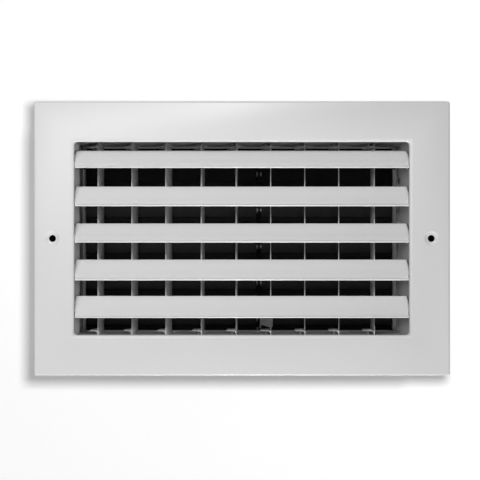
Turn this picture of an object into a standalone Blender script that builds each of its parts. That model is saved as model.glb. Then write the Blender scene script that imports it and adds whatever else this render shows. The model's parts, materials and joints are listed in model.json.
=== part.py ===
"""Supply air register for a 10 by 6 inch duct: stamped face, collar, two banks of blades, shutter damper.

Metres, +Z up. The face looks towards -Y and the duct is on the +Y side. Depths are measured back from the
front of the face, and the origin is the middle of the register's box.
"""

import math

import bmesh
import bpy
from mathutils import Matrix, Vector

# Clearances
SEAT_GAP = 0.0003
PIN_GAP = 0.0003

# Stamped face
FACE_WIDTH = 0.29845
FACE_HEIGHT = 0.19685
FACE_SHEET = 0.0009
FACE_EDGE_DEPTH = 0.0055
FACE_EDGE_ROUND = 0.0016
FACE_SIDE_MARGIN = 0.028775
FACE_END_MARGIN = 0.029025
OPENING_ROUND = 0.0024
OPENING_RETURN = 0.0008
SCREW_HOLE_RADIUS = 0.0023
SCREW_DIMPLE_RADIUS = 0.0052
SCREW_DIMPLE_DEPTH = 0.0011
SCREW_DIMPLE_GAP = 0.00085

# Collar behind the face, set back from the edge of the opening
COLLAR_SIDE_SETBACK = 0.00335
COLLAR_END_SETBACK = 0.0036
COLLAR_SHEET = 0.0009
COLLAR_PAST_FINS = 0.0030
COLLAR_REAR_LIP = 0.0016
COLLAR_FLANGE = 0.0050

# Front blades, top to bottom
BLADE_TILTS = (45.0, 50.0, 45.5, 48.5, 50.0)
BLADE_LOWEST_TILT = -60.0
BLADE_HIGHEST_TILT = 80.0
BLADE_CHORD = 0.01905
BLADE_SHEET = 0.0009
BLADE_NOSE_RADIUS = 0.0011
BLADE_CROWN = 0.0006
BLADE_OFFSET = 0.0034
BLADE_SETBACK = 0.000475
BLADE_TOP_MARGIN = 0.01694
BLADE_BOTTOM_MARGIN = 0.0203
BLADE_NOSE_LENGTH = 0.0050
BLADE_NOSE_CLEARANCE = 0.0006
BLADE_EAR_WIDTH = 0.0084
BLADE_EAR_SHEET = 0.0008
BLADE_EAR_DROP = 0.0033

# Rear fins, left to right: how far each is turned by hand, rear edge to the right
FIN_TURNS = (7.0, 10.0, 13.0, 7.5, 5.5, 4.5, 6.5, 9.0, 2.5)
FIN_SWING = 35.0
FIN_WIDTH = 0.0160
FIN_SHEET = 0.0006
FIN_OFFSET = 0.0032
FIN_BEHIND_BLADES = 0.005475
FIN_LEFT_MARGIN = 0.0137
FIN_RIGHT_MARGIN = 0.0255
FIN_BEND_RADIUS = 0.0012
FIN_EAR_REACH = 0.0046
FIN_EAR_TAPER = 0.62

# Rivets
RIVET_RADIUS = 0.0014
RIVET_HEAD_RADIUS = 0.0023
RIVET_HEAD_HEIGHT = 0.0009
RIVET_SIDES = 10

# Damper
DAMPER_SHEET = 0.0009
DAMPER_PAST_RIVETS = 0.0007
DAMPER_PAST_AXLES = 0.0103
DAMPER_REAR_LIP = 0.0020
DAMPER_RIVET_MARGIN = 0.0271
SHUTTER_COUNT = 5
SHUTTER_OPENS = 84.0
SHUTTER_SHEET = 0.0007
SHUTTER_LAP = 0.0012
SHUTTER_HEM = 0.0030
SHUTTER_LAP_GAP = 0.000294
SHUTTER_END_GAP = 0.0011
SHUTTER_AXLE_RADIUS = 0.0015
SHUTTER_AXLE_PROUD = 0.0012
SHUTTER_SWING_GAP = 0.00108

# Link between the shutters, and its thumb tab
CRANK_LENGTH = 0.0090
LINK_FIN = 5
LINK_FIN_GAP = 0.005125
LINK_SHEET = 0.0010
LINK_WIDTH = 0.0070
LINK_END = 0.0040
LUG_SHEET = 0.0008
LUG_RADIUS = 0.0032
LUG_SLOT_MARGIN = 0.0005
LINK_PIN_RADIUS = 0.00125
LINK_PIN_HEAD_RADIUS = 0.0022
LINK_PIN_HEAD_HEIGHT = 0.0007
TAB_BEFORE_FINS = 0.0021
TAB_WIDTH = 0.0096
TAB_HEIGHT = 0.0100
TAB_ARM_HEIGHT = 0.0075
TAB_LIFT = 0.0006
TAB_CORNER = 0.0020
TAB_SLANT = 0.0028
LINK_CORNER = 0.0030

# Values that follow from the sizes above
OPENING_WIDTH = FACE_WIDTH - 2 * FACE_SIDE_MARGIN
OPENING_HEIGHT = FACE_HEIGHT - 2 * FACE_END_MARGIN
COLLAR_WIDTH = OPENING_WIDTH + 2 * COLLAR_SIDE_SETBACK
COLLAR_HEIGHT = OPENING_HEIGHT + 2 * COLLAR_END_SETBACK
SCREW_DIMPLE_REACH = SCREW_DIMPLE_RADIUS + FACE_SHEET + SCREW_DIMPLE_GAP
SCREW_SPACING = COLLAR_WIDTH + 2 * (COLLAR_FLANGE + SCREW_DIMPLE_REACH)
COLLAR_INNER_X = COLLAR_WIDTH / 2 - COLLAR_SHEET
COLLAR_INNER_Z = COLLAR_HEIGHT / 2 - COLLAR_SHEET
BLADE_COUNT = len(BLADE_TILTS)
FIN_COUNT = len(FIN_TURNS)
DAMPER_INNER_X = COLLAR_WIDTH / 2 + SEAT_GAP
DAMPER_INNER_Z = COLLAR_HEIGHT / 2 + SEAT_GAP
DAMPER_RIVET_HEIGHT = COLLAR_INNER_Z - DAMPER_RIVET_MARGIN
HOLE_SHARE = math.cos(math.pi / RIVET_SIDES)
# Each shutter reaches half a lap past the middle between axles, and the end ones clear the frame
SHUTTER_PITCH = (2 * DAMPER_INNER_Z - SHUTTER_LAP - 2 * SHUTTER_END_GAP) / SHUTTER_COUNT
SHUTTER_CHORD = SHUTTER_PITCH + SHUTTER_LAP
# The lapping edges step apart by what the closed shutters' lean leaves between them
SHUTTER_LEAN = SHUTTER_PITCH * math.cos(math.radians(SHUTTER_OPENS))
SHUTTER_JOGGLE = (SHUTTER_LEAN - SHUTTER_SHEET - SHUTTER_LAP_GAP) / 2
# Depths, front to back: each bank of blades swings clear of the next
BLADE_PIVOT_DEPTH = BLADE_CHORD / 2 + BLADE_SETBACK
FIN_PIVOT_DEPTH = BLADE_PIVOT_DEPTH + BLADE_CHORD / 2 + FIN_BEHIND_BLADES + FIN_WIDTH / 2
TAB_FRONT = FIN_PIVOT_DEPTH - FIN_WIDTH / 2 - TAB_BEFORE_FINS
COLLAR_REAR = FIN_PIVOT_DEPTH + FIN_WIDTH / 2 + COLLAR_PAST_FINS
DAMPER_FRONT = FIN_PIVOT_DEPTH + RIVET_HEAD_RADIUS + DAMPER_PAST_RIVETS
SHUTTER_PIVOT_DEPTH = COLLAR_REAR + SHUTTER_SWING_GAP + SHUTTER_CHORD / 2
DAMPER_REAR = SHUTTER_PIVOT_DEPTH + DAMPER_PAST_AXLES
HALF_DEPTH = DAMPER_REAR / 2

# Paint and metal: colour, roughness, metallic
FINISHES = {
    "white_paint": ((0.80, 0.80, 0.80, 1.0), 0.42, 0.0),
    "white_blade_paint": ((0.82, 0.82, 0.82, 1.0), 0.40, 0.0),
    "black_paint": ((0.02, 0.02, 0.02, 1.0), 0.55, 0.0),
    "zinc": ((0.56, 0.57, 0.58, 1.0), 0.38, 1.0),
}


def clear_scene():
    for item in list(bpy.data.objects):
        bpy.data.objects.remove(item, do_unlink=True)
    for group in list(bpy.data.collections):
        bpy.data.collections.remove(group)


def new_collection(name):
    group = bpy.data.collections.new(name)
    bpy.context.scene.collection.children.link(group)
    return group


def make_materials():
    made = {}
    for name, (colour, roughness, metallic) in FINISHES.items():
        finish = bpy.data.materials.new(name)
        finish.use_nodes = True
        shader = finish.node_tree.nodes["Principled BSDF"]
        shader.inputs["Base Color"].default_value = colour
        shader.inputs["Roughness"].default_value = roughness
        shader.inputs["Metallic"].default_value = metallic
        finish.diffuse_color = colour
        made[name] = finish
    return made


def at_depth(depth):
    """World Y of a depth measured back from the front of the face."""
    return depth - HALF_DEPTH


def round_hole(pin_radius, gap=PIN_GAP):
    """Corner radius of a many-sided hole whose flats clear a pin by the gap."""
    return (pin_radius + gap) / HOLE_SHARE


class Workshop:
    """Holds the collections and materials that every piece goes through."""

    def __init__(self):
        clear_scene()
        self.parts = new_collection("supply_air_register")
        self.cutters = new_collection("cutters")
        self.materials = make_materials()

    def add(self, name, mesh, finish, location=(0, 0, 0), rotation=(0, 0, 0), smooth=35.0):
        """A finished piece with its own material, in the parts collection."""
        piece = bpy.data.objects.new(name, mesh)
        self.parts.objects.link(piece)
        piece.location = location
        piece.rotation_euler = rotation
        own = self.materials[finish].copy()
        own.name = f"{name}_{finish}"
        piece.data = mesh.copy()
        piece.data.materials.clear()
        piece.data.materials.append(own)
        piece.data.shade_smooth()
        piece.data.set_sharp_from_angle(angle=math.radians(smooth))
        return piece

    def tool(self, name, mesh, owner=None, location=(0, 0, 0)):
        """A cutter, or a shape to be joined on, kept out of the model."""
        helper = bpy.data.objects.new(name, mesh)
        self.cutters.objects.link(helper)
        helper.location = location
        helper.parent = owner
        helper.hide_render = True
        helper.display_type = "WIRE"
        return helper

    def boolean(self, piece, helper, operation):
        step = piece.modifiers.new(f"{operation.lower()}_{helper.name}", "BOOLEAN")
        step.object = helper
        step.operation = operation
        step.solver = "EXACT"

    def baked(self, piece):
        """The piece's mesh with its modifiers applied, for a shape that is used several times."""
        bpy.context.view_layer.update()
        graph = bpy.context.evaluated_depsgraph_get()
        mesh = bpy.data.meshes.new_from_object(piece.evaluated_get(graph), depsgraph=graph)
        for helper in list(piece.children):
            bpy.data.objects.remove(helper, do_unlink=True)
        bpy.data.objects.remove(piece, do_unlink=True)
        return mesh


def mesh_from(shape, name):
    mesh = bpy.data.meshes.new(name)
    shape.to_mesh(mesh)
    shape.free()
    return mesh


def box_mesh(low, high, name="box"):
    shape = bmesh.new()
    middle = (Vector(low) + Vector(high)) / 2
    size = Vector(high) - Vector(low)
    bmesh.ops.create_cube(shape, size=1.0, matrix=Matrix.Translation(middle) @ Matrix.Diagonal((*size, 1.0)))
    return mesh_from(shape, name)


def pin_mesh(radius, length, axis, name="pin", radius_top=None):
    """A round bar along an axis, centred on the origin."""
    shape = bmesh.new()
    bmesh.ops.create_cone(
        shape,
        cap_ends=True,
        segments=RIVET_SIDES,
        radius1=radius,
        radius2=radius if radius_top is None else radius_top,
        depth=length,
    )
    turn = {"X": Matrix.Rotation(math.pi / 2, 4, "Y"), "Y": Matrix.Rotation(-math.pi / 2, 4, "X")}
    if axis in turn:
        shape.transform(turn[axis])
    return mesh_from(shape, name)


def joined_meshes(placed, name):
    """Several separate cutter shapes in one mesh: pairs of a mesh and its place."""
    shape = bmesh.new()
    for mesh, place in placed:
        part = mesh.copy()
        part.transform(Matrix.Translation(Vector(place)))
        shape.from_mesh(part)
        bpy.data.meshes.remove(part)
    return mesh_from(shape, name)


def outline_mesh(points, thickness, name):
    """A filled 2D outline in Y and Z, given a thickness along X."""
    curve = bpy.data.curves.new(name, "CURVE")
    curve.dimensions = "2D"
    curve.fill_mode = "BOTH"
    curve.extrude = thickness / 2
    line = curve.splines.new("POLY")
    line.points.add(len(points) - 1)
    for slot, (y, z) in zip(line.points, points):
        slot.co = (y, z, 0.0, 1.0)
    line.use_cyclic_u = True
    helper = bpy.data.objects.new(name, curve)
    bpy.context.scene.collection.objects.link(helper)
    bpy.context.view_layer.update()
    graph = bpy.context.evaluated_depsgraph_get()
    mesh = bpy.data.meshes.new_from_object(helper.evaluated_get(graph), depsgraph=graph)
    bpy.data.objects.remove(helper, do_unlink=True)
    shape = bmesh.new()
    shape.from_mesh(mesh)
    bmesh.ops.remove_doubles(shape, verts=shape.verts, dist=1e-6)
    to_yz = Matrix(((0, 0, 1, 0), (1, 0, 0, 0), (0, 1, 0, 0), (0, 0, 0, 1)))
    shape.transform(to_yz)
    bmesh.ops.recalc_face_normals(shape, faces=shape.faces)
    bpy.data.meshes.remove(mesh)
    return mesh_from(shape, name)


def arc(centre, radius, start, end, count):
    """Points on an arc in degrees, both ends included."""
    angles = [math.radians(start + (end - start) * step / count) for step in range(count + 1)]
    return [(centre[0] + radius * math.cos(a), centre[1] + radius * math.sin(a)) for a in angles]


def wrapped_sheet(rings, name):
    """Sheet wrapped round a rectangle: each ring is half a width, half a height and a depth."""
    shape = bmesh.new()
    bmesh.ops.create_circle(shape, segments=4, radius=1.0)
    edges = shape.edges[:]
    corners = shape.verts[:]
    signs = {}
    for corner, (x, z) in zip(corners, ((1, 1), (-1, 1), (-1, -1), (1, -1))):
        signs[corner] = (x, z)
    for number, (half_x, half_z, depth) in enumerate(rings):
        if number:
            made = bmesh.ops.extrude_edge_only(shape, edges=edges)["geom"]
            edges = [item for item in made if isinstance(item, bmesh.types.BMEdge) and item.is_boundary]
            corners = [item for item in made if isinstance(item, bmesh.types.BMVert)]
        for corner in corners:
            x, z = signs.get(corner) or (
                math.copysign(1, corner.co.x),
                math.copysign(1, corner.co.z),
            )
            corner.co = (x * half_x, at_depth(depth), z * half_z)
    return mesh_from(shape, name)


def give_thickness(piece, thickness, side):
    wall = piece.modifiers.new("sheet", "SOLIDIFY")
    wall.thickness = thickness
    wall.offset = side
    wall.use_even_offset = True
    wall.use_quality_normals = True


def face_rings():
    """Outer lip, rounded edge, flat flange and the roll into the opening, on the front side of the sheet."""
    half_x = FACE_WIDTH / 2
    half_z = FACE_HEIGHT / 2
    edge = FACE_EDGE_ROUND
    profile = [(0.0, FACE_EDGE_DEPTH)]
    profile += [(edge - x, edge - y) for x, y in arc((0, 0), edge, 0, 90, 4)]
    inset = (FACE_WIDTH - OPENING_WIDTH) / 2
    inset_z = (FACE_HEIGHT - OPENING_HEIGHT) / 2
    roll = OPENING_ROUND
    turned = [(x, roll - y) for x, y in arc((0, 0), roll, 90, 0, 5)]
    rings = [(half_x - x, half_z - x, y) for x, y in profile]
    rings += [(half_x - inset + roll - x, half_z - inset_z + roll - x, y) for x, y in turned]
    rings.append((half_x - inset, half_z - inset_z, roll + OPENING_RETURN))
    return rings


def make_face(shop):
    face = shop.add("face_frame", wrapped_sheet(face_rings(), "face_frame"), "white_paint")
    give_thickness(face, FACE_SHEET, -1.0)
    places = [(side * SCREW_SPACING / 2, 0.0, 0.0) for side in (-1, 1)]
    cup_depth = SCREW_DIMPLE_DEPTH + FACE_SHEET
    bottom_radius = SCREW_HOLE_RADIUS + FACE_SHEET
    cup = pin_mesh(SCREW_DIMPLE_RADIUS + FACE_SHEET, cup_depth, "Y", "cup", bottom_radius)
    cup_at = at_depth(FACE_SHEET / 2 + cup_depth / 2)
    cups = joined_meshes([(cup, (x, cup_at, 0.0)) for x, _, _ in places], "dimple_cups")
    shop.boolean(face, shop.tool("dimple_cups", cups, face), "UNION")
    sink_depth = 2 * SCREW_DIMPLE_DEPTH
    slope = (SCREW_DIMPLE_RADIUS - SCREW_HOLE_RADIUS) / SCREW_DIMPLE_DEPTH
    wide = SCREW_DIMPLE_RADIUS + slope * SCREW_DIMPLE_DEPTH
    sink = pin_mesh(wide, sink_depth, "Y", "sink", SCREW_HOLE_RADIUS)
    sinks = joined_meshes([(sink, (x, at_depth(0.0), 0.0)) for x, _, _ in places], "dimple_sinks")
    shop.boolean(face, shop.tool("dimple_sinks", sinks, face), "DIFFERENCE")
    drill = pin_mesh(SCREW_HOLE_RADIUS, 8 * FACE_SHEET, "Y", "drill")
    drills = joined_meshes([(drill, (x, at_depth(0.0), 0.0)) for x, _, _ in places], "screw_holes")
    shop.boolean(face, shop.tool("screw_holes", drills, face), "DIFFERENCE")


def blade_pivots():
    """Heights of the front blades' pivots, top to bottom."""
    top = COLLAR_INNER_Z - BLADE_TOP_MARGIN
    bottom = BLADE_BOTTOM_MARGIN - COLLAR_INNER_Z
    return [top + (bottom - top) * n / (BLADE_COUNT - 1) for n in range(BLADE_COUNT)]


def fin_pivots():
    """Places of the fins' pivots across the register, left to right."""
    left = FIN_LEFT_MARGIN - COLLAR_INNER_X
    right = COLLAR_INNER_X - FIN_RIGHT_MARGIN
    return [left + (right - left) * n / (FIN_COUNT - 1) for n in range(FIN_COUNT)]


def damper_rivet_depth():
    """The damper's rivets go through the middle of its overlap with the collar."""
    return (DAMPER_FRONT + COLLAR_REAR) / 2


def make_collar(shop):
    front = FACE_SHEET + SEAT_GAP
    wall_x = COLLAR_WIDTH / 2
    wall_z = COLLAR_HEIGHT / 2
    rings = [
        (wall_x + COLLAR_FLANGE, wall_z + COLLAR_FLANGE, front + COLLAR_SHEET),
        (wall_x, wall_z, front + COLLAR_SHEET),
        (wall_x, wall_z, COLLAR_REAR),
        (wall_x - COLLAR_SHEET - COLLAR_REAR_LIP, wall_z - COLLAR_SHEET - COLLAR_REAR_LIP, COLLAR_REAR),
    ]
    collar = shop.add("collar", wrapped_sheet(rings, "collar"), "white_paint")
    give_thickness(collar, COLLAR_SHEET, 1.0)
    hole = round_hole(RIVET_RADIUS)
    blade_drill = pin_mesh(hole, 2 * COLLAR_WIDTH, "X", "blade_drill")
    depth = at_depth(BLADE_PIVOT_DEPTH)
    drills = joined_meshes([(blade_drill, (0.0, depth, z)) for z in blade_pivots()], "blade_pivot_holes")
    shop.boolean(collar, shop.tool("blade_pivot_holes", drills, collar), "DIFFERENCE")
    fin_drill = pin_mesh(hole, 2 * COLLAR_HEIGHT, "Z", "fin_drill")
    depth = at_depth(FIN_PIVOT_DEPTH)
    drills = joined_meshes([(fin_drill, (x, depth, 0.0)) for x in fin_pivots()], "fin_pivot_holes")
    shop.boolean(collar, shop.tool("fin_pivot_holes", drills, collar), "DIFFERENCE")
    shop.boolean(collar, shop.tool("collar_rivet_holes", damper_rivet_drills(), collar), "DIFFERENCE")
    corner = box_mesh((-COLLAR_FLANGE,) * 3, (COLLAR_FLANGE,) * 3, "corner")
    reach_x = wall_x + COLLAR_FLANGE + SEAT_GAP
    reach_z = wall_z + COLLAR_FLANGE + SEAT_GAP
    placed = [(corner, (sx * reach_x, at_depth(0.0), sz * reach_z)) for sx in (-1, 1) for sz in (-1, 1)]
    shop.boolean(collar, shop.tool("flange_corners", joined_meshes(placed, "flange_corners"), collar), "DIFFERENCE")


def damper_rivet_drills():
    drill = pin_mesh(round_hole(RIVET_RADIUS), 2 * COLLAR_WIDTH, "X", "damper_drill")
    depth = at_depth(damper_rivet_depth())
    heights = (DAMPER_RIVET_HEIGHT, -DAMPER_RIVET_HEIGHT)
    return joined_meshes([(drill, (0.0, depth, z)) for z in heights], "damper_rivet_holes")


def blade_outline():
    """Section of a front blade: rolled nose in front, thin crowned sheet behind, in Y and Z."""
    half = BLADE_CHORD / 2
    nose = BLADE_NOSE_RADIUS
    centre_y = nose - half
    steps = 5

    def camber(y):
        return BLADE_OFFSET + BLADE_CROWN * (1 - (y / half) ** 2)

    join = math.degrees(math.asin(BLADE_SHEET / 2 / nose))
    start_y = centre_y + nose * math.cos(math.radians(join))
    spread = [start_y + (half - start_y) * n / steps for n in range(1, steps + 1)]
    lower = [(y, camber(y) - BLADE_SHEET / 2) for y in reversed(spread)]
    upper = [(y, camber(y) + BLADE_SHEET / 2) for y in spread]
    roll = arc((centre_y, camber(centre_y)), nose, 360 - join, join, 8)
    return lower + roll + upper


def ear_outline(width, drop, top):
    """A folded ear with a round lower end, in Y and Z."""
    half = width / 2
    return [(half, top)] + [(-y, -z) for y, z in arc((0, drop - half), half, 180, 0, 8)] + [(-half, top)]


def make_blade_mesh(shop):
    half_length = COLLAR_INNER_X - SEAT_GAP
    blade = bpy.data.objects.new("blade", outline_mesh(blade_outline(), 2 * half_length, "blade"))
    shop.cutters.objects.link(blade)
    nose_half = OPENING_WIDTH / 2 - BLADE_NOSE_CLEARANCE
    front = -BLADE_CHORD
    back = BLADE_NOSE_LENGTH - BLADE_CHORD / 2
    corner = box_mesh((nose_half, front, 0.0), (COLLAR_WIDTH, back, 2 * BLADE_OFFSET), "corner")
    other = box_mesh((-COLLAR_WIDTH, front, 0.0), (-nose_half, back, 2 * BLADE_OFFSET), "other")
    corners = joined_meshes([(corner, (0, 0, 0)), (other, (0, 0, 0))], "blade_corners")
    shop.boolean(blade, shop.tool("blade_corners", corners, blade), "DIFFERENCE")
    ear_top = BLADE_OFFSET + BLADE_CROWN
    ear = outline_mesh(ear_outline(BLADE_EAR_WIDTH, BLADE_EAR_DROP, ear_top), BLADE_EAR_SHEET, "ear")
    ear_x = half_length - BLADE_EAR_SHEET / 2
    ears = joined_meshes([(ear, (ear_x, 0, 0)), (ear, (-ear_x, 0, 0))], "blade_ears")
    shop.boolean(blade, shop.tool("blade_ears", ears, blade), "UNION")
    drill = pin_mesh(round_hole(RIVET_RADIUS), 2 * COLLAR_WIDTH, "X", "ear_drill")
    shop.boolean(blade, shop.tool("ear_drill", drill, blade), "DIFFERENCE")
    return shop.baked(blade)


def make_blades(shop):
    mesh = make_blade_mesh(shop)
    for number, (tilt, height) in enumerate(zip(BLADE_TILTS, blade_pivots()), 1):
        place = (0.0, at_depth(BLADE_PIVOT_DEPTH), height)
        shop.add(f"front_blade_{number}", mesh, "white_blade_paint", place, (math.radians(tilt), 0, 0))


def fin_path():
    """Middle line of a fin in X and Z, from the top ear's end to the bottom ear's end."""
    ear_z = COLLAR_INNER_Z - SEAT_GAP - FIN_SHEET / 2
    bend = FIN_BEND_RADIUS
    top = arc((FIN_OFFSET - bend, ear_z - bend), bend, 90, 0, 4)
    upper = [(-FIN_EAR_REACH, ear_z)] + top
    return upper + [(x, -z) for x, z in reversed(upper)]


def make_fin_mesh(shop):
    shape = bmesh.new()
    half = FIN_WIDTH / 2
    line = [shape.verts.new((x, -half, z)) for x, z in fin_path()]
    edges = [shape.edges.new(pair) for pair in zip(line, line[1:])]
    made = bmesh.ops.extrude_edge_only(shape, edges=edges)["geom"]
    far = [item for item in made if isinstance(item, bmesh.types.BMVert)]
    bmesh.ops.translate(shape, verts=far, vec=(0, FIN_WIDTH, 0))
    for corner in shape.verts:
        if corner.co.x < 0:
            corner.co.y *= FIN_EAR_TAPER
    fin = bpy.data.objects.new("fin", mesh_from(shape, "fin"))
    shop.cutters.objects.link(fin)
    give_thickness(fin, FIN_SHEET, 0.0)
    drill = pin_mesh(round_hole(RIVET_RADIUS), 2 * COLLAR_HEIGHT, "Z", "fin_ear_drill")
    shop.boolean(fin, shop.tool("fin_ear_drill", drill, fin), "DIFFERENCE")
    return shop.baked(fin)


def make_fins(shop):
    mesh = make_fin_mesh(shop)
    for number, (turn, across) in enumerate(zip(FIN_TURNS, fin_pivots()), 1):
        place = (across, at_depth(FIN_PIVOT_DEPTH), 0.0)
        shop.add(f"rear_fin_{number}", mesh, "white_blade_paint", place, (0, 0, -math.radians(turn)))


def rivet_mesh(grip, shank, head, head_height, name):
    """Half outline of a rivet in X and Z, head up: its top face rests at the origin's height."""
    crown = [(head * 0.62, head_height), (head, head_height * 0.35)]
    tail = [(head * 0.9, -grip), (head * 0.9, -grip - head_height * 0.5), (head * 0.55, -grip - head_height)]
    points = [(0, head_height), *crown, (head, 0), (shank, 0), (shank, -grip), *tail, (0, -grip - head_height)]
    shape = bmesh.new()
    line = [shape.verts.new((x, 0, z)) for x, z in points]
    for pair in zip(line, line[1:]):
        shape.edges.new(pair)
    return mesh_from(shape, name)


def add_rivet(shop, name, mesh, place, rotation):
    rivet = shop.add(name, mesh, "zinc", place, rotation)
    turn = rivet.modifiers.new("turned", "SCREW")
    turn.axis = "Z"
    turn.steps = RIVET_SIDES
    turn.render_steps = RIVET_SIDES
    turn.use_merge_vertices = True
    turn.merge_threshold = 0.00001


def make_blade_rivets(shop):
    inner = COLLAR_INNER_X - SEAT_GAP - BLADE_EAR_SHEET - SEAT_GAP
    grip = COLLAR_WIDTH / 2 + SEAT_GAP - inner
    mesh = rivet_mesh(grip, RIVET_RADIUS, RIVET_HEAD_RADIUS, RIVET_HEAD_HEIGHT, "blade_rivet")
    for number, height in enumerate(blade_pivots(), 1):
        for side, sign in (("left", -1), ("right", 1)):
            place = (sign * inner, at_depth(BLADE_PIVOT_DEPTH), height)
            add_rivet(shop, f"blade_rivet_{number}_{side}", mesh, place, (0, -sign * math.pi / 2, 0))


def make_fin_rivets(shop):
    inner = COLLAR_INNER_Z - SEAT_GAP - FIN_SHEET - SEAT_GAP
    grip = COLLAR_HEIGHT / 2 + SEAT_GAP - inner
    mesh = rivet_mesh(grip, RIVET_RADIUS, RIVET_HEAD_RADIUS, RIVET_HEAD_HEIGHT, "fin_rivet")
    for number, across in enumerate(fin_pivots(), 1):
        for side, sign in (("bottom", -1), ("top", 1)):
            place = (across, at_depth(FIN_PIVOT_DEPTH), sign * inner)
            flip = math.pi if sign > 0 else 0.0
            add_rivet(shop, f"fin_rivet_{number}_{side}", mesh, place, (flip, 0, 0))


def make_damper_rivets(shop):
    inner = COLLAR_INNER_X - SEAT_GAP
    grip = DAMPER_INNER_X + DAMPER_SHEET + SEAT_GAP - inner
    mesh = rivet_mesh(grip, RIVET_RADIUS, RIVET_HEAD_RADIUS, RIVET_HEAD_HEIGHT, "damper_rivet")
    depth = at_depth(damper_rivet_depth())
    corners = [(sx, sz) for sz in (1, -1) for sx in (-1, 1)]
    for number, (sx, sz) in enumerate(corners, 1):
        place = (sx * inner, depth, sz * DAMPER_RIVET_HEIGHT)
        add_rivet(shop, f"damper_rivet_{number}", mesh, place, (0, -sx * math.pi / 2, 0))


def shutter_heights():
    """Heights of the damper shutters' axles, top to bottom."""
    middle = (SHUTTER_COUNT - 1) / 2
    return [(middle - n) * SHUTTER_PITCH for n in range(SHUTTER_COUNT)]


def make_damper_frame(shop):
    wall_x = DAMPER_INNER_X
    wall_z = DAMPER_INNER_Z
    lip = DAMPER_REAR_LIP
    rings = [
        (wall_x, wall_z, DAMPER_FRONT),
        (wall_x, wall_z, DAMPER_REAR - DAMPER_SHEET),
        (wall_x - lip, wall_z - lip, DAMPER_REAR - DAMPER_SHEET),
    ]
    frame = shop.add("damper_frame", wrapped_sheet(rings, "damper_frame"), "zinc")
    give_thickness(frame, DAMPER_SHEET, -1.0)
    drill = pin_mesh(round_hole(SHUTTER_AXLE_RADIUS), 2 * COLLAR_WIDTH, "X", "axle_drill")
    depth = at_depth(SHUTTER_PIVOT_DEPTH)
    drills = joined_meshes([(drill, (0.0, depth, z)) for z in shutter_heights()], "axle_holes")
    shop.boolean(frame, shop.tool("axle_holes", drills, frame), "DIFFERENCE")
    shop.boolean(frame, shop.tool("frame_rivet_holes", damper_rivet_drills(), frame), "DIFFERENCE")


def crank_pin():
    """The link pin seen from a shutter's axle while the shutter lies open, in Y and Z."""
    angle = math.radians(SHUTTER_OPENS / 2)
    return -CRANK_LENGTH * math.cos(angle), CRANK_LENGTH * math.sin(angle)


def shutter_outline():
    """Section of an open shutter: flat sheet whose two long edges step apart to lap the next one."""
    half = SHUTTER_CHORD / 2
    bend = half - SHUTTER_HEM
    flat = bend - SHUTTER_JOGGLE
    middle = [(-half, -SHUTTER_JOGGLE), (-bend, -SHUTTER_JOGGLE), (-flat, 0.0)]
    middle += [(flat, 0.0), (bend, SHUTTER_JOGGLE), (half, SHUTTER_JOGGLE)]
    up = SHUTTER_SHEET / 2
    return [(y, z - up) for y, z in middle] + [(y, z + up) for y, z in reversed(middle)]


def lug_outline():
    """Crank lug standing on the open shutter, round about its pin."""
    pin_y, pin_z = crank_pin()
    root = [(pin_y + 1.6 * LUG_RADIUS, 0.0), (pin_y - LUG_RADIUS, 0.0)]
    return root + arc((pin_y, pin_z), LUG_RADIUS, 180, 0, 8)


def link_x():
    """Middle of the link bar's sheet, left of the fin that it passes."""
    return fin_pivots()[LINK_FIN] - LINK_FIN_GAP


def lug_x():
    """Middle of the crank lug's sheet, beside the link bar."""
    return link_x() + LINK_SHEET / 2 + SEAT_GAP + LUG_SHEET / 2


def make_shutter_mesh(shop):
    half_length = DAMPER_INNER_X - DAMPER_REAR_LIP - SEAT_GAP
    shutter = bpy.data.objects.new("shutter", outline_mesh(shutter_outline(), 2 * half_length, "shutter"))
    shop.cutters.objects.link(shutter)
    slot_low = link_x() - LINK_SHEET / 2 - LUG_SLOT_MARGIN
    slot_high = lug_x() - LUG_SHEET / 4
    slot_back = crank_pin()[0] + LINK_WIDTH / 2 + LUG_SLOT_MARGIN
    slot = box_mesh((slot_low, -SHUTTER_CHORD, -SHUTTER_HEM), (slot_high, slot_back, SHUTTER_HEM), "link_slot")
    shop.boolean(shutter, shop.tool("link_slot", slot, shutter), "DIFFERENCE")
    lug = outline_mesh(lug_outline(), LUG_SHEET, "crank_lug")
    shop.boolean(shutter, shop.tool("crank_lug", lug, shutter, (lug_x(), 0, 0)), "UNION")
    pin_y, pin_z = crank_pin()
    drill = pin_mesh(round_hole(LINK_PIN_RADIUS), 4 * LUG_SHEET, "X", "lug_drill")
    shop.boolean(shutter, shop.tool("lug_drill", drill, shutter, (lug_x(), pin_y, pin_z)), "DIFFERENCE")
    axle_end = DAMPER_INNER_X + DAMPER_SHEET + SHUTTER_AXLE_PROUD
    axle_root = half_length - 4 * SHUTTER_AXLE_RADIUS
    axle = pin_mesh(SHUTTER_AXLE_RADIUS, axle_end - axle_root, "X", "axle")
    axle_x = (axle_end + axle_root) / 2
    axles = joined_meshes([(axle, (axle_x, 0, 0)), (axle, (-axle_x, 0, 0))], "axles")
    shop.boolean(shutter, shop.tool("axles", axles, shutter), "UNION")
    return shop.baked(shutter)


def make_shutters(shop):
    mesh = make_shutter_mesh(shop)
    for number, height in enumerate(shutter_heights(), 1):
        place = (0.0, at_depth(SHUTTER_PIVOT_DEPTH), height)
        shop.add(f"damper_blade_{number}", mesh, "black_paint", place, (math.radians(SHUTTER_OPENS), 0, 0))


def link_pin_places():
    """World Y and Z of the link pins with the damper closed, top to bottom."""
    pin_y, pin_z = crank_pin()
    depth = at_depth(SHUTTER_PIVOT_DEPTH)
    return [(depth + pin_y, height - pin_z) for height in shutter_heights()]


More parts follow.
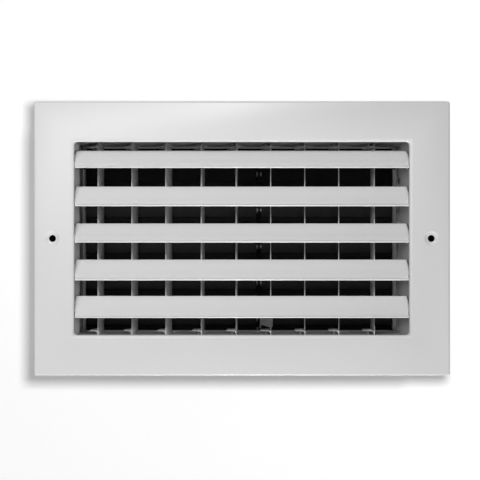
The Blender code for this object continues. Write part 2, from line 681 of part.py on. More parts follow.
def link_outline():
    """Bar and thumb-tab arm in Y and Z, with the damper closed."""
    pins = link_pin_places()
    back = pins[0][0] + LINK_WIDTH / 2
    front = pins[0][0] - LINK_WIDTH / 2
    top = pins[0][1] + LINK_END
    bottom = pins[-1][1] - LINK_END
    arm_top = bottom + TAB_ARM_HEIGHT
    tip = at_depth(TAB_FRONT)
    half = LINK_WIDTH / 2
    heel = arc((back - LINK_CORNER, bottom + LINK_CORNER), LINK_CORNER, -90, 0, 3)
    crown = arc((pins[0][0], top - half), half, 0, 180, 8)
    return heel + crown + [
        (front, arm_top + TAB_CORNER),
        (front - TAB_CORNER, arm_top),
        (tip, arm_top),
        (tip, bottom + TAB_SLANT),
        (tip + TAB_CORNER, bottom),
    ]


def tab_mesh(left, bottom):
    """Thumb tab across the arm's end: slanted lower edge and two rounded corners."""
    low = bottom + TAB_LIFT
    high = low + TAB_HEIGHT
    right = left + TAB_WIDTH
    corner = TAB_CORNER
    outline = [(left, high), (left, low + TAB_SLANT)]
    outline += arc((right - corner, low + corner), corner, -90, 0, 3)
    outline += arc((right - corner, high - corner), corner, 0, 90, 3)
    mesh = outline_mesh(outline, LINK_SHEET, "thumb_tab")
    mesh.transform(Matrix.Rotation(-math.pi / 2, 4, "Z"))
    return mesh


def make_link(shop):
    bar = shop.add("link_bar", outline_mesh(link_outline(), LINK_SHEET, "link_bar"), "zinc")
    bar.location = (link_x(), 0, 0)
    pins = link_pin_places()
    tab = tab_mesh(-LINK_SHEET / 2, pins[-1][1] - LINK_END)
    tab_middle = at_depth(TAB_FRONT) + LINK_SHEET / 2
    shop.boolean(bar, shop.tool("thumb_tab", tab, bar, (0, tab_middle, 0)), "UNION")
    drill = pin_mesh(round_hole(LINK_PIN_RADIUS), 4 * LINK_SHEET, "X", "link_drill")
    drills = joined_meshes([(drill, (0.0, y, z)) for y, z in pins], "link_pin_holes")
    shop.boolean(bar, shop.tool("link_pin_holes", drills, bar), "DIFFERENCE")
    inner = link_x() - LINK_SHEET / 2 - SEAT_GAP
    grip = lug_x() + LUG_SHEET / 2 + SEAT_GAP - inner
    mesh = rivet_mesh(grip, LINK_PIN_RADIUS, LINK_PIN_HEAD_RADIUS, LINK_PIN_HEAD_HEIGHT, "link_pin")
    for number, (y, z) in enumerate(pins, 1):
        add_rivet(shop, f"link_pin_{number}", mesh, (inner, y, z), (0, -math.pi / 2, 0))


def main():
    shop = Workshop()
    make_face(shop)
    make_collar(shop)
    make_blades(shop)
    make_blade_rivets(shop)
    make_fins(shop)
    make_fin_rivets(shop)
    make_damper_frame(shop)
    make_damper_rivets(shop)
    make_shutters(shop)
    make_link(shop)


main()
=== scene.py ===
"""Supply air register: every piece in sheet metal, paint and zinc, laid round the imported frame.

Metres, +Z up. The face looks towards -Y and the duct is on the +Y side. Depths are measured back from the
front of the face. The register hangs in front of a pale wall, over a pale floor.
"""

import json
import logging
import math
from contextlib import contextmanager
from dataclasses import dataclass
from enum import Enum
from typing import Callable, Iterator, Sequence

import bmesh
import bpy
from mathutils import Matrix, Vector

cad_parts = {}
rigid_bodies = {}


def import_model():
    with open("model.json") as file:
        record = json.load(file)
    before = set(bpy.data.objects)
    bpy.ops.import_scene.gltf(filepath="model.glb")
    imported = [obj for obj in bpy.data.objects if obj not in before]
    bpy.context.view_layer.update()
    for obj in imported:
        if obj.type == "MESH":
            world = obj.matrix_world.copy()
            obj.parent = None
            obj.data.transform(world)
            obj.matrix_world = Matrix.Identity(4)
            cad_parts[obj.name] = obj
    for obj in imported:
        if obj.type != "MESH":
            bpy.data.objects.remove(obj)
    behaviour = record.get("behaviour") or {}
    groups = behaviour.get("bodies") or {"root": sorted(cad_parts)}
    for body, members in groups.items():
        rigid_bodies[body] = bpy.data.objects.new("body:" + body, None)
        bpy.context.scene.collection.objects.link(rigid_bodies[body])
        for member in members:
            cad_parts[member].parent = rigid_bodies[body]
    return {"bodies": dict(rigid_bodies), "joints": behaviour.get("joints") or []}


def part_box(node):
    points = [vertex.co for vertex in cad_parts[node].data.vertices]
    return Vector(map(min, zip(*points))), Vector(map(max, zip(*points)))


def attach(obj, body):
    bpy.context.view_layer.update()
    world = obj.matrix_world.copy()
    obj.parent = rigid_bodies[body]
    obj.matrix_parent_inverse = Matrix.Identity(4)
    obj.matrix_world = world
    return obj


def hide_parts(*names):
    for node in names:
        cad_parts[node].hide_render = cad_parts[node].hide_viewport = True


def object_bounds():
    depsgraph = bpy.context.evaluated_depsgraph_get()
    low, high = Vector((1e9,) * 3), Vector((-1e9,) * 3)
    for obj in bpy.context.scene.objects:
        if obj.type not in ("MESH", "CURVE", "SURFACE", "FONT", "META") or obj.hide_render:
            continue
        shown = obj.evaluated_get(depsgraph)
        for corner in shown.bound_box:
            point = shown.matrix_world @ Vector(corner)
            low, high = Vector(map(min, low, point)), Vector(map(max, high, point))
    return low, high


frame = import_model()
CAD_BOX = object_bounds()
LOG = logging.getLogger("register")

Pair = tuple[float, float]
Triple = tuple[float, float, float]
PointTest = Callable[[Vector], bool]
PairTest = Callable[[Vector, Vector], bool]

NEAR = 0.00002
FACING = 0.9
ROUND_SIDES = 32
FOLD_STEPS = 3
SHARP_STAMPED, SHARP_STRIP = 50.0, 60.0
SMOOTH_BOX, SMOOTH_STRIP, SMOOTH_RIVET = 32.0, 36.0, 40.0
QUARTER = math.pi / 2
SIDES = (-1, 1)
SHUTTERS = 5


class Slot(Enum):
    """The record's material slots."""

    FRAME = "frame_paint"
    BLADE = "blade_paint"
    SHUTTER = "shutter_paint"
    DAMPER = "damper_zinc"
    HARDWARE = "hardware_zinc"


class Axis(Enum):
    """Which way a new primitive looks: the turn that brings its own +Z there."""

    X = (0.0, QUARTER, 0.0)
    Y = (QUARTER, 0.0, 0.0)
    Z = (0.0, 0.0, 0.0)


class Group(Enum):
    """Pieces that lamps shine on or are shaded by: how the names of their CAD nodes start."""

    REGISTER = ("",)
    ROOM = ("face_frame", "front_blade_")
    DUCT = ("collar", "damper_frame")
    FINS = ("rear_fin_",)
    BOARDS = ()


@dataclass(frozen=True)
class Common:
    """Sizes that several sub-assemblies share."""

    seat_gap: float = 0.0003
    pin_gap: float = 0.0003
    face_sheet: float = 0.0009
    opening_width: float = 0.2409
    opening_height: float = 0.1388
    collar_width: float = 0.2476
    collar_height: float = 0.1460
    collar_sheet: float = 0.0009
    rivet_radius: float = 0.0014
    damper_sheet: float = 0.0009
    damper_front: float = 0.0360
    damper_rear: float = 0.0703
    damper_rivet_height: float = 0.0450
    damper_rivet_depth: float = 0.0400
    axle_radius: float = 0.0015
    lug_pin_radius: float = 0.00125

    @property
    def inner_x(self) -> float:
        """Half the collar's clear width."""
        return self.collar_width / 2 - self.collar_sheet

    @property
    def inner_z(self) -> float:
        """Half the collar's clear height."""
        return self.collar_height / 2 - self.collar_sheet

    @property
    def damper_x(self) -> float:
        """Half the damper frame's clear width."""
        return self.collar_width / 2 + self.seat_gap

    @property
    def damper_z(self) -> float:
        """Half the damper frame's clear height."""
        return self.collar_height / 2 + self.seat_gap

    @property
    def rivet_hole(self) -> float:
        """Radius of a hole that a rivet's shank turns in."""
        return self.rivet_radius + self.pin_gap

    @property
    def lug_hole(self) -> float:
        """Radius of a hole that a link pin turns in."""
        return self.lug_pin_radius + self.pin_gap

    def at(self, depth: float) -> float:
        """World Y of a depth behind the face."""
        return depth - self.damper_rear / 2


COMMON = Common()


def pivot(body: str) -> Vector:
    """A point on the axis that a moving body turns about."""
    return next(Vector(joint["pos_m"]) for joint in frame["joints"] if joint["child"] == body)


def numbered(stem: str) -> list[str]:
    """The frame's bodies whose names start with a stem, in their order."""
    return sorted(name for name in frame["bodies"] if name.startswith(stem))


def greys(*levels: float) -> list[Triple]:
    """Neutral colours of some levels."""
    return [(level, level, level) for level in levels]


class Blank:
    """A piece on the bench: a primitive, shaped step by step. Each step gives the piece back."""

    def __init__(self, item: bpy.types.Object, name: str) -> None:
        """Takes a mesh object and names it."""
        self.item = item
        item.name = item.data.name = name

    @classmethod
    def _added(cls, name: str, scale: Sequence[float] = (1.0, 1.0, 1.0)) -> "Blank":
        """The primitive just added, with its place, turn and scale put into its mesh.

        Args:
            name: Name of the piece.
            scale: Its scale.

        Returns:
            The piece.
        """
        made = cls(bpy.context.object, name)
        made.item.scale = scale
        made.take()
        bpy.ops.object.transform_apply(location=True, rotation=True, scale=True)
        return made

    @classmethod
    def plate(cls, name: str, low: Sequence[float], high: Sequence[float]) -> "Blank":
        """A flat rectangle between two corners that share one coordinate.

        Args:
            name: Name of the piece.
            low: Lowest corner.
            high: Highest corner.

        Returns:
            The piece, facing -Y in an upright XZ plate, +X in a YZ one and +Z in a level one.
        """
        size = Vector(high) - Vector(low)
        flat = min(range(3), key=lambda n: abs(size[n]))
        sides = ((size.z, size.y), (size.x, size.z), (size.x, size.y))[flat]
        middle = (Vector(low) + Vector(high)) / 2
        bpy.ops.mesh.primitive_plane_add(size=1.0, location=middle, rotation=tuple(Axis)[flat].value)
        return cls._added(name, (*sides, 1.0))

    @classmethod
    def bar(cls, name: str, radius: float, start: Sequence[float], end: Sequence[float]) -> "Blank":
        """A round bar between two points on one world axis.

        Args:
            name: Name of the piece.
            radius: Its radius.
            start: Middle of one end.
            end: Middle of the other.

        Returns:
            The piece.
        """
        span = Vector(end) - Vector(start)
        along = tuple(Axis)[max(range(3), key=lambda n: abs(span[n]))]
        middle = (Vector(start) + Vector(end)) / 2
        bpy.ops.mesh.primitive_cylinder_add(
            vertices=ROUND_SIDES, radius=radius, depth=span.length, location=middle, rotation=along.value
        )
        return cls._added(name)

    @classmethod
    def block(cls, name: str, low: Sequence[float], high: Sequence[float]) -> "Blank":
        """A box between its lowest and its highest corner."""
        bpy.ops.mesh.primitive_cube_add(size=1.0, location=(Vector(low) + Vector(high)) / 2)
        return cls._added(name, Vector(high) - Vector(low))

    def take(self) -> None:
        """Selects this piece alone."""
        bpy.ops.object.select_all(action="DESELECT")
        self.item.select_set(True)
        bpy.context.view_layer.objects.active = self.item

    @contextmanager
    def bench(self) -> Iterator["Blank"]:
        """Edit mode for the steps inside the block.

        Yields:
            The piece itself.
        """
        self.take()
        bpy.ops.object.mode_set(mode="EDIT")
        yield self
        bpy.ops.object.mode_set(mode="OBJECT")

    def _pick(self, mode: str, kind: str, test: Callable[..., bool]) -> "Blank":
        """Selects the elements of one kind that pass a test, and nothing else.

        Args:
            mode: The select mode.
            kind: Name of the elements' list in the mesh.
            test: Takes an element.

        Returns:
            The piece.
        """
        bpy.ops.mesh.select_mode(type=mode)
        bpy.ops.mesh.select_all(action="DESELECT")
        shape = bmesh.from_edit_mesh(self.item.data)
        for element in getattr(shape, kind):
            if test(element):
                element.select_set(True)
        bmesh.update_edit_mesh(self.item.data)
        return self

    def points(self, test: PointTest) -> "Blank":
        """Selects the points whose place passes a test."""
        return self._pick("VERT", "verts", lambda v: test(v.co))

    def edges(self, test: PairTest) -> "Blank":
        """Selects the edges whose two ends pass a test."""
        return self._pick("EDGE", "edges", lambda e: test(e.verts[0].co, e.verts[1].co))

    def rim(self, test: PairTest) -> "Blank":
        """Selects the open edges whose two ends pass a test."""
        return self._pick("EDGE", "edges", lambda e: e.is_boundary and test(e.verts[0].co, e.verts[1].co))

    def faces(self, test: PairTest) -> "Blank":
        """Selects the faces whose middle and normal pass a test."""
        return self._pick("FACE", "faces", lambda f: test(f.calc_center_median(), f.normal))

    def extrude(self, by: Sequence[float]) -> "Blank":
        """Draws the selection out by a vector."""
        bpy.ops.mesh.extrude_region_move(TRANSFORM_OT_translate={"value": tuple(by)})
        return self

    def resize(self, scale: Sequence[float], centre: Sequence[float] = (0.0, 0.0, 0.0)) -> "Blank":
        """Scales the selection about a point."""
        bpy.ops.transform.resize(value=tuple(scale), center_override=tuple(centre))
        return self

    def move(self, by: Sequence[float]) -> "Blank":
        """Shifts the selection by a vector."""
        bpy.ops.transform.translate(value=tuple(by))
        return self

    def inset(self, margin: float) -> "Blank":
        """Draws a margin inside the selected faces."""
        bpy.ops.mesh.inset(thickness=margin, use_boundary=True)
        return self

    def bevel(self, width: float, segments: int, corners: bool = False) -> "Blank":
        """Rounds the selected edges, or the selected points of a plate.

        Args:
            width: Radius of the round.
            segments: Steps in it.
            corners: Rounds points and not edges.

        Returns:
            The piece.
        """
        affect = "VERTICES" if corners else "EDGES"
        bpy.ops.mesh.bevel(offset=width, segments=segments, affect=affect, clamp_overlap=True)
        return self

    def spin(self, angle: float, steps: int, centre: Sequence[float], axis: Sequence[float]) -> "Blank":
        """Bends new sheet from the selected edges, by the right hand round an axis through a centre."""
        bpy.ops.mesh.spin(steps=steps, angle=angle, center=tuple(centre), axis=tuple(axis))
        return self

    def score(self, place: Sequence[float], normal: Sequence[float]) -> "Blank":
        """Cuts a line across the whole piece without parting it.

        Args:
            place: A point on the cut.
            normal: The cut's normal.

        Returns:
            The piece.
        """
        bpy.ops.mesh.select_all(action="SELECT")
        bpy.ops.mesh.bisect(plane_co=tuple(place), plane_no=tuple(normal), use_fill=False)
        return self

    def drop(self, kind: str = "FACE") -> "Blank":
        """Deletes the selection: its faces with what they alone hold, or ONLY_FACE."""
        bpy.ops.mesh.delete(type=kind)
        return self

    def face_away(self, test: PairTest) -> "Blank":
        """Turns the whole shell over unless a face that passes the test is there.

        Args:
            test: Takes a face's middle and its normal.

        Returns:
            The piece.
        """
        bpy.ops.mesh.select_all(action="SELECT")
        bpy.ops.mesh.normals_make_consistent(inside=False)
        shape = bmesh.from_edit_mesh(self.item.data)
        shape.normal_update()
        if not any(test(face.calc_center_median(), face.normal) for face in shape.faces):
            bpy.ops.mesh.flip_normals()
        return self

    def _apply(self, kind: str, **settings: object) -> "Blank":
        """Adds a modifier, sets it and applies it.

        Args:
            kind: The modifier's type.
            settings: Its settings by name.

        Returns:
            The piece.
        """
        self.take()
        step = self.item.modifiers.new(kind.lower(), kind)
        for name, value in settings.items():
            setattr(step, name, value)
        bpy.ops.object.modifier_apply(modifier=step.name)
        return self

    def thicken(self, sheet: float, offset: float, even: bool = True) -> "Blank":
        """Gives the surface its sheet: behind it at an offset of -1, on both sides at 0."""
        settings = {"use_even_offset": even, "use_quality_normals": True}
        return self._apply("SOLIDIFY", thickness=sheet, offset=offset, **settings)

    def soften(self, width: float, angle: float) -> "Blank":
        """Breaks the edges that are sharper than an angle in degrees."""
        limit = {"limit_method": "ANGLE", "angle_limit": math.radians(angle)}
        return self._apply("BEVEL", width=width, segments=2, **limit)

    def _boolean(self, helper: "Blank", operation: str) -> "Blank":
        """Cuts by or joins with a helper.

        Args:
            helper: The other shape, which is used up.
            operation: DIFFERENCE or UNION.

        Returns:
            The piece.
        """
        self._apply("BOOLEAN", object=helper.item, operation=operation, solver="EXACT")
        helper.discard()
        return self

    def cut(self, helper: "Blank") -> "Blank":
        """Cuts the helper's shape out and uses it up."""
        return self._boolean(helper, "DIFFERENCE")

    def weld(self, helper: "Blank") -> "Blank":
        """Joins the helper's shape on as one body and uses it up."""
        return self._boolean(helper, "UNION")

    def drill(self, radius: float, place: Sequence[float], axis: int, reach: float) -> "Blank":
        """Cuts a round hole through a place, along an axis and as far each way as the reach."""
        way = Vector([reach if n == axis else 0.0 for n in range(3)])
        return self.cut(Blank.bar("drill", radius, Vector(place) - way, Vector(place) + way))

    def gather(self, others: Sequence["Blank"]) -> "Blank":
        """Takes other, separate shapes into this object.

        Args:
            others: The shapes, which are used up.

        Returns:
            The piece.
        """
        self.take()
        for other in others:
            other.item.select_set(True)
        bpy.ops.object.join()
        return self

    def discard(self) -> None:
        """Removes the piece."""
        mesh = self.item.data
        bpy.data.objects.remove(self.item, do_unlink=True)
        bpy.data.meshes.remove(mesh)

    def copy(self, name: str, place: Matrix) -> "Blank":
        """A copy with its own mesh, moved there.

        Args:
            name: Name of the copy.
            place: Where it goes.

        Returns:
            The copy.
        """
        item = self.item.copy()
        item.data = self.item.data.copy()
        bpy.context.scene.collection.objects.link(item)
        item.data.transform(place)
        item.data.update()
        return Blank(item, name)

    def shade(self, angle: float = SMOOTH_BOX) -> "Blank":
        """Shades smooth but for edges sharper than an angle.

        Args:
            angle: The angle in degrees.

        Returns:
            The piece.
        """
        self.take()
        bpy.ops.object.shade_smooth_by_angle(angle=math.radians(angle))
        return self


@dataclass(frozen=True)
class Rim:
    """An upright rectangle round the Y axis, which finds the edges of a sheet box."""

    y: float
    half_x: float
    half_z: float

    def plate(self, name: str) -> Blank:
        """A plate that fills the rectangle."""
        return Blank.plate(name, (-self.half_x, self.y, -self.half_z), (self.half_x, self.y, self.half_z))

    def round(self, a: Vector, b: Vector) -> bool:
        """Whether an edge runs along the rectangle's sides.

        Args:
            a: One end.
            b: The other end.

        Returns:
            True if it does.
        """
        level = abs(a.y - self.y) < NEAR and abs(b.y - self.y) < NEAR
        side = abs(abs(a.x) - self.half_x) < NEAR and abs(a.x - b.x) < NEAR
        end = abs(abs(a.z) - self.half_z) < NEAR and abs(a.z - b.z) < NEAR
        narrow = max(abs(a.x), abs(b.x)) < self.half_x + NEAR
        return level and narrow and max(abs(a.z), abs(b.z)) < self.half_z + NEAR and (side or end)

    def corner(self, a: Vector, b: Vector) -> bool:
        """Whether an edge runs along Y at a corner of the rectangle, at any depth.

        Args:
            a: One end.
            b: The other end.

        Returns:
            True if it does.
        """
        along = abs(a.x - b.x) < NEAR and abs(a.z - b.z) < NEAR and abs(a.y - b.y) > NEAR
        return along and abs(abs(a.x) - self.half_x) < NEAR and abs(abs(a.z) - self.half_z) < NEAR

    def either(self, a: Vector, b: Vector) -> bool:
        """Whether an edge does one or the other."""
        return self.round(a, b) or self.corner(a, b)


class Value:
    """A shader socket whose maths reads as Python."""

    def __init__(self, graph: "Graph", socket: bpy.types.NodeSocket) -> None:
        """Wraps an output socket of a graph."""
        self.graph = graph
        self.socket = socket

    def _with(self, operation: str, first: object, second: object) -> "Value":
        """A Math node on two values."""
        return self.graph.add("ShaderNodeMath", {"operation": operation}, {0: first, 1: second})

    def __add__(self, other: object) -> "Value":
        """Sum."""
        return self._with("ADD", self, other)

    __radd__ = __add__

    def __sub__(self, other: object) -> "Value":
        """Difference."""
        return self._with("SUBTRACT", self, other)

    def __rsub__(self, other: object) -> "Value":
        """Difference from a number."""
        return self._with("SUBTRACT", other, self)

    def __mul__(self, other: object) -> "Value":
        """Product."""
        return self._with("MULTIPLY", self, other)

    __rmul__ = __mul__

    def __pow__(self, other: object) -> "Value":
        """Power."""
        return self._with("POWER", self, other)


class Graph:
    """The node graph of one material."""

    def __init__(self, name: str) -> None:
        """Starts a material with a Principled shader.

        Args:
            name: Name of the material.
        """
        self.material = bpy.data.materials.new(name)
        self.material.use_nodes = True
        self.nodes = self.material.node_tree.nodes
        self.links = self.material.node_tree.links
        self.shader = self.nodes["Principled BSDF"]

    def add(
        self, kind: str, settings: dict | None = None, inputs: dict | None = None, out: int | str = 0
    ) -> Value:
        """Adds a node, sets it and feeds it.

        Args:
            kind: The node's type.
            settings: Its own settings by name.
            inputs: Values or links by socket name or number.
            out: Which output is wanted.

        Returns:
            That output.
        """
        node = self.nodes.new(kind)
        for name, value in (settings or {}).items():
            setattr(node, name, value)
        for name, value in (inputs or {}).items():
            self.feed(node, name, value)
        return Value(self, node.outputs[out])

    def feed(self, node: bpy.types.Node, name: int | str, value: object) -> None:
        """Sets or links one input.

        Args:
            node: The node.
            name: The input's name or number.
            value: A number, a colour, a vector or another node's output.
        """
        if isinstance(value, Value):
            self.links.new(value.socket, node.inputs[name])
        else:
            node.inputs[name].default_value = value

    def place(self, scale: Sequence[float] = (1.0, 1.0, 1.0)) -> Value:
        """The piece's own coordinates, stretched by a factor along each axis."""
        inputs = {"Vector": self.add("ShaderNodeTexCoord", out="Object"), "Scale": tuple(scale)}
        return self.add("ShaderNodeMapping", {"vector_type": "POINT"}, inputs)

    def noise(self, scale: float, detail: float = 2.0, where: Value | None = None) -> Value:
        """Cloudy noise between 0 and 1: so many features a metre, in so many octaves."""
        inputs = {"Vector": where or self.place(), "Scale": scale, "Detail": detail}
        return self.add("ShaderNodeTexNoise", None, inputs)

    def dress(
        self, tints: Sequence[Triple], share: Value, rough: Value, relief: Value, bump: Pair, **plain: float
    ) -> bpy.types.Material:
        """Feeds the Principled shader.

        Args:
            tints: The colours at a share of 0 and of 1.
            share: How they mix.
            rough: The roughness.
            relief: What raises the surface, between 0 and 1.
            bump: How much of that shows, and the height of 1 in metres.
            plain: Numbers for other sockets, by name, with _ for a space.

        Returns:
            The material.
        """
        colours = {6 + n: (*tint, 1.0) for n, tint in enumerate(tints)}
        tint = self.add("ShaderNodeMix", {"data_type": "RGBA"}, {0: share, **colours}, out=2)
        height = {"Height": relief, "Strength": bump[0], "Distance": bump[1]}
        raised = self.add("ShaderNodeBump", None, height)
        for name, value in {"Base Color": tint, "Roughness": rough, "Normal": raised, **plain}.items():
            self.feed(self.shader, name.replace("_", " "), value)
        return self.material

    def surface(self, shader: Value) -> None:
        """Puts another shader in the Principled one's stead."""
        self.nodes.remove(self.shader)
        self.feed(self.nodes["Material Output"], "Surface", shader)

    def ray(self, kind: str) -> Value:
        """1 for a light path's rays of one kind and 0 for others."""
        return self.add("ShaderNodeLightPath", out=f"Is {kind} Ray")

    def glow(self, strength: float | Value) -> Value:
        """A shader that gives off white light."""
        return self.add("ShaderNodeEmission", None, {"Strength": strength})

    def matt(self, grey: float, strength: Value) -> Value:
        """A matt grey shader that glows as well."""
        board = self.add("ShaderNodeBsdfDiffuse", None, {"Color": (grey, grey, grey, 1.0)})
        return self.add("ShaderNodeAddShader", None, {0: board, 1: self.glow(strength)})

    def mix(self, share: Value, first: Value, second: Value) -> Value:
        """The first shader at a share of 0 and the second at 1."""
        return self.add("ShaderNodeMixShader", None, {0: share, 1: first, 2: second})

    def one_sided(self, shader: Value) -> Value:
        """The shader from the front and nothing from behind."""
        behind = self.add("ShaderNodeNewGeometry", out="Backfacing")
        return self.mix(behind, shader, self.add("ShaderNodeBsdfTransparent"))


@dataclass(frozen=True)
class PowderCoat:
    """Sprayed and baked white paint with a faint orange peel."""

    name: str
    grey: float = 0.74
    spread: float = 0.016
    roughness: float = 0.36
    rough_swing: float = 0.12
    gloss: float = 0.38
    cloud_scale: float = 14.0
    cloud_share: float = 0.8
    dust_scale: float = 2600.0
    dust_power: float = 6.0
    dust_share: float = 2.0
    peel_scale: float = 950.0
    peel: Pair = (0.10, 0.00006)

    def build(self) -> bpy.types.Material:
        """The finish as a material.

        Returns:
            The material.
        """
        graph = Graph(self.name)
        cloud = graph.noise(self.cloud_scale, 3.0)
        dust = graph.noise(self.dust_scale, 1.0) ** self.dust_power
        share = cloud * self.cloud_share + dust * self.dust_share
        rough = self.roughness - self.rough_swing / 2 + cloud * self.rough_swing
        tints = greys(self.grey - self.spread, self.grey + self.spread)
        relief = graph.noise(self.peel_scale)
        return graph.dress(tints, share, rough, relief, self.peel, Specular_IOR_Level=self.gloss)


@dataclass(frozen=True)
class BlackPaint:
    """Matt black paint with a breath of dust on it."""

    name: str
    tints: Pair = (0.006, 0.014)
    roughness: float = 0.66
    gloss: float = 0.22
    dust_scale: float = 60.0
    dust_power: float = 2.5
    dust_share: float = 2.0
    dust_rough: float = 0.25
    grain_scale: float = 1400.0
    grain: Pair = (0.25, 0.00005)

    def build(self) -> bpy.types.Material:
        """The finish as a material.

        Returns:
            The material.
        """
        graph = Graph(self.name)
        dust = graph.noise(self.dust_scale, 5.0) ** self.dust_power
        rough = self.roughness + dust * self.dust_rough
        relief = graph.noise(self.grain_scale)
        tints, share = greys(*self.tints), dust * self.dust_share
        return graph.dress(tints, share, rough, relief, self.grain, Specular_IOR_Level=self.gloss)


@dataclass(frozen=True)
class Galvanised:
    """Hot-dipped zinc: flat crystals, each a little lighter or darker than the next."""

    name: str
    tints: tuple[Triple, Triple] = ((0.40, 0.41, 0.42), (0.58, 0.59, 0.60))
    roughness: float = 0.40
    metal: float = 0.60
    spangle_scale: float = 190.0
    spangle_share: float = 0.65
    spangle_rough: float = 0.12
    scuff_scale: float = 45.0
    scuff_share: float = 0.35
    scuff_rough: float = 0.08
    bump: Pair = (0.15, 0.00004)

    def build(self) -> bpy.types.Material:
        """The finish as a material.

        Returns:
            The material.
        """
        graph = Graph(self.name)
        where = {"Vector": graph.place(), "Scale": self.spangle_scale}
        cells = graph.add("ShaderNodeTexVoronoi", {"feature": "F1"}, where, out="Color")
        crystal = graph.add("ShaderNodeSeparateColor", None, {"Color": cells}, out="Red")
        scuff = graph.noise(self.scuff_scale, 4.0)
        share = crystal * self.spangle_share + scuff * self.scuff_share
        rough = self.roughness - self.spangle_rough / 2 + crystal * self.spangle_rough
        rough = rough + scuff * self.scuff_rough
        relief = (crystal + scuff) * 0.5
        return graph.dress(self.tints, share, rough, relief, self.bump, Metallic=self.metal)


@dataclass(frozen=True)
class PlatedSteel:
    """Bright zinc plating on small steel parts, drawn in one direction."""

    name: str
    tints: tuple[Triple, Triple] = ((0.34, 0.35, 0.36), (0.50, 0.51, 0.52))
    least_rough: float = 0.41
    rough_swing: float = 0.16
    grain: Triple = (900.0, 900.0, 60.0)
    grain_share: float = 0.6
    cloud_scale: float = 120.0
    cloud_share: float = 0.4
    bump: Pair = (0.12, 0.00004)

    def build(self) -> bpy.types.Material:
        """The finish as a material.

        Returns:
            The material.
        """
        graph = Graph(self.name)
        drawn = graph.noise(1.0, 3.0, graph.place(self.grain))
        share = drawn * self.grain_share + graph.noise(self.cloud_scale) * self.cloud_share
        rough = self.least_rough + drawn * self.rough_swing
        return graph.dress(self.tints, share, rough, drawn, self.bump, Metallic=1.0)


@dataclass(frozen=True)
class ShadedLinkSteel:
    """Grey steel on the thumb tab, painted near black behind it: painted shade where the strap lies in the
    duct.
    """

    name: str
    tints: Pair = (0.020, 0.30)
    least_rough: float = 0.45
    rough_swing: float = 0.14
    dull_roughness: float = 0.24
    painted_shade_start: float = -0.0112
    painted_shade_full: float = -0.0092
    grain: Triple = (900.0, 900.0, 60.0)
    cloud_scale: float = 120.0
    even_share: float = 0.78
    uneven_share: float = 0.14
    bump: Pair = (0.12, 0.00004)

    def build(self) -> bpy.types.Material:
        """The finish as a material.

        Returns:
            The material.
        """
        graph = Graph(self.name)
        drawn = graph.noise(1.0, 3.0, graph.place(self.grain))
        cloud = graph.noise(self.cloud_scale)
        depth = graph.add("ShaderNodeSeparateXYZ", None, {"Vector": graph.place()}, out="Y")
        # Painted shade: the ramp keeps the tab at the front grey and darkens the strap behind it to near
        # black, where it lies in the duct's shade; the back is rougher too.
        limits = {"From Min": self.painted_shade_start, "From Max": self.painted_shade_full, "To Min": 1.0, "To Max": 0.0}
        unshaded = graph.add("ShaderNodeMapRange", None, {"Value": depth, **limits})
        share = unshaded * (self.even_share + (drawn + cloud) * self.uneven_share)
        rough = self.least_rough + drawn * self.rough_swing + (1.0 - unshaded) * self.dull_roughness
        return graph.dress(greys(*self.tints), share, rough, drawn, self.bump, Metallic=1.0)


class Workshop:
    """Holds the finishes, and hands each finished piece to its body."""

    def __init__(self) -> None:
        """Makes the finishes, and the groups of pieces that lamps shine on."""
        self.groups = {group: bpy.data.collections.new(f"lit_{group.name.lower()}") for group in Group}
        self.own_finishes = {
            # The link bar's steel is painted near black behind its tab: painted shade in the duct.
            "link_bar": ShadedLinkSteel("link_steel_painted_shade").build(),
            # The collar's coat is dark grey, far below the face's white: painted shade for the inside of the
            # duct.
            "collar": PowderCoat("duct_coat_painted_shade", grey=0.36, spread=0.03, roughness=0.50).build(),
        }
        self.finishes = {
            Slot.FRAME: PowderCoat("white_powder_coat").build(),
            Slot.BLADE: PowderCoat("white_blade_coat", grey=0.77, cloud_scale=20.0, roughness=0.33).build(),
            Slot.SHUTTER: BlackPaint("matt_black_paint").build(),
            Slot.DAMPER: Galvanised("galvanised_sheet").build(),
            Slot.HARDWARE: PlatedSteel("zinc_plated_steel").build(),
        }

    def deliver(self, piece: Blank, node: str, body: str, slot: Slot) -> None:
        """Dresses a piece, sets it on its body and hides the node that it stands for.

        Args:
            piece: The finished piece.
            node: The CAD node that it replaces.
            body: The CAD body that it rides on.
            slot: Its finish.
        """
        piece.item.data.materials.clear()
        piece.item.data.materials.append(self.own_finishes.get(node, self.finishes[slot]))
        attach(piece.item, body)
        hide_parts(node)
        for group, collection in self.groups.items():
            if node.startswith(group.value):
                collection.objects.link(piece.item)
        LOG.info("%s rides on %s: %d faces", piece.item.name, body, len(piece.item.data.polygons))

    def deliver_each(
        self, piece: Blank, kind: str, stem: str, angles: Sequence[float], axis: str, slot: Slot
    ) -> None:
        """Delivers a copy at the pivot of each body of one kind, and discards the piece.

        Args:
            piece: The piece, modelled about its pivot.
            kind: What the copies are called.
            stem: How the bodies' names start.
            angles: Each copy's turn in degrees.
            axis: The axis that they turn about.
            slot: Their finish.
        """
        for body, angle in zip(numbered(stem), angles):
            place = Matrix.Translation(pivot(body)) @ Matrix.Rotation(math.radians(angle), 4, axis)
            self.deliver(piece.copy(f"{body}_{kind}", place), body, body, slot)
        piece.discard()


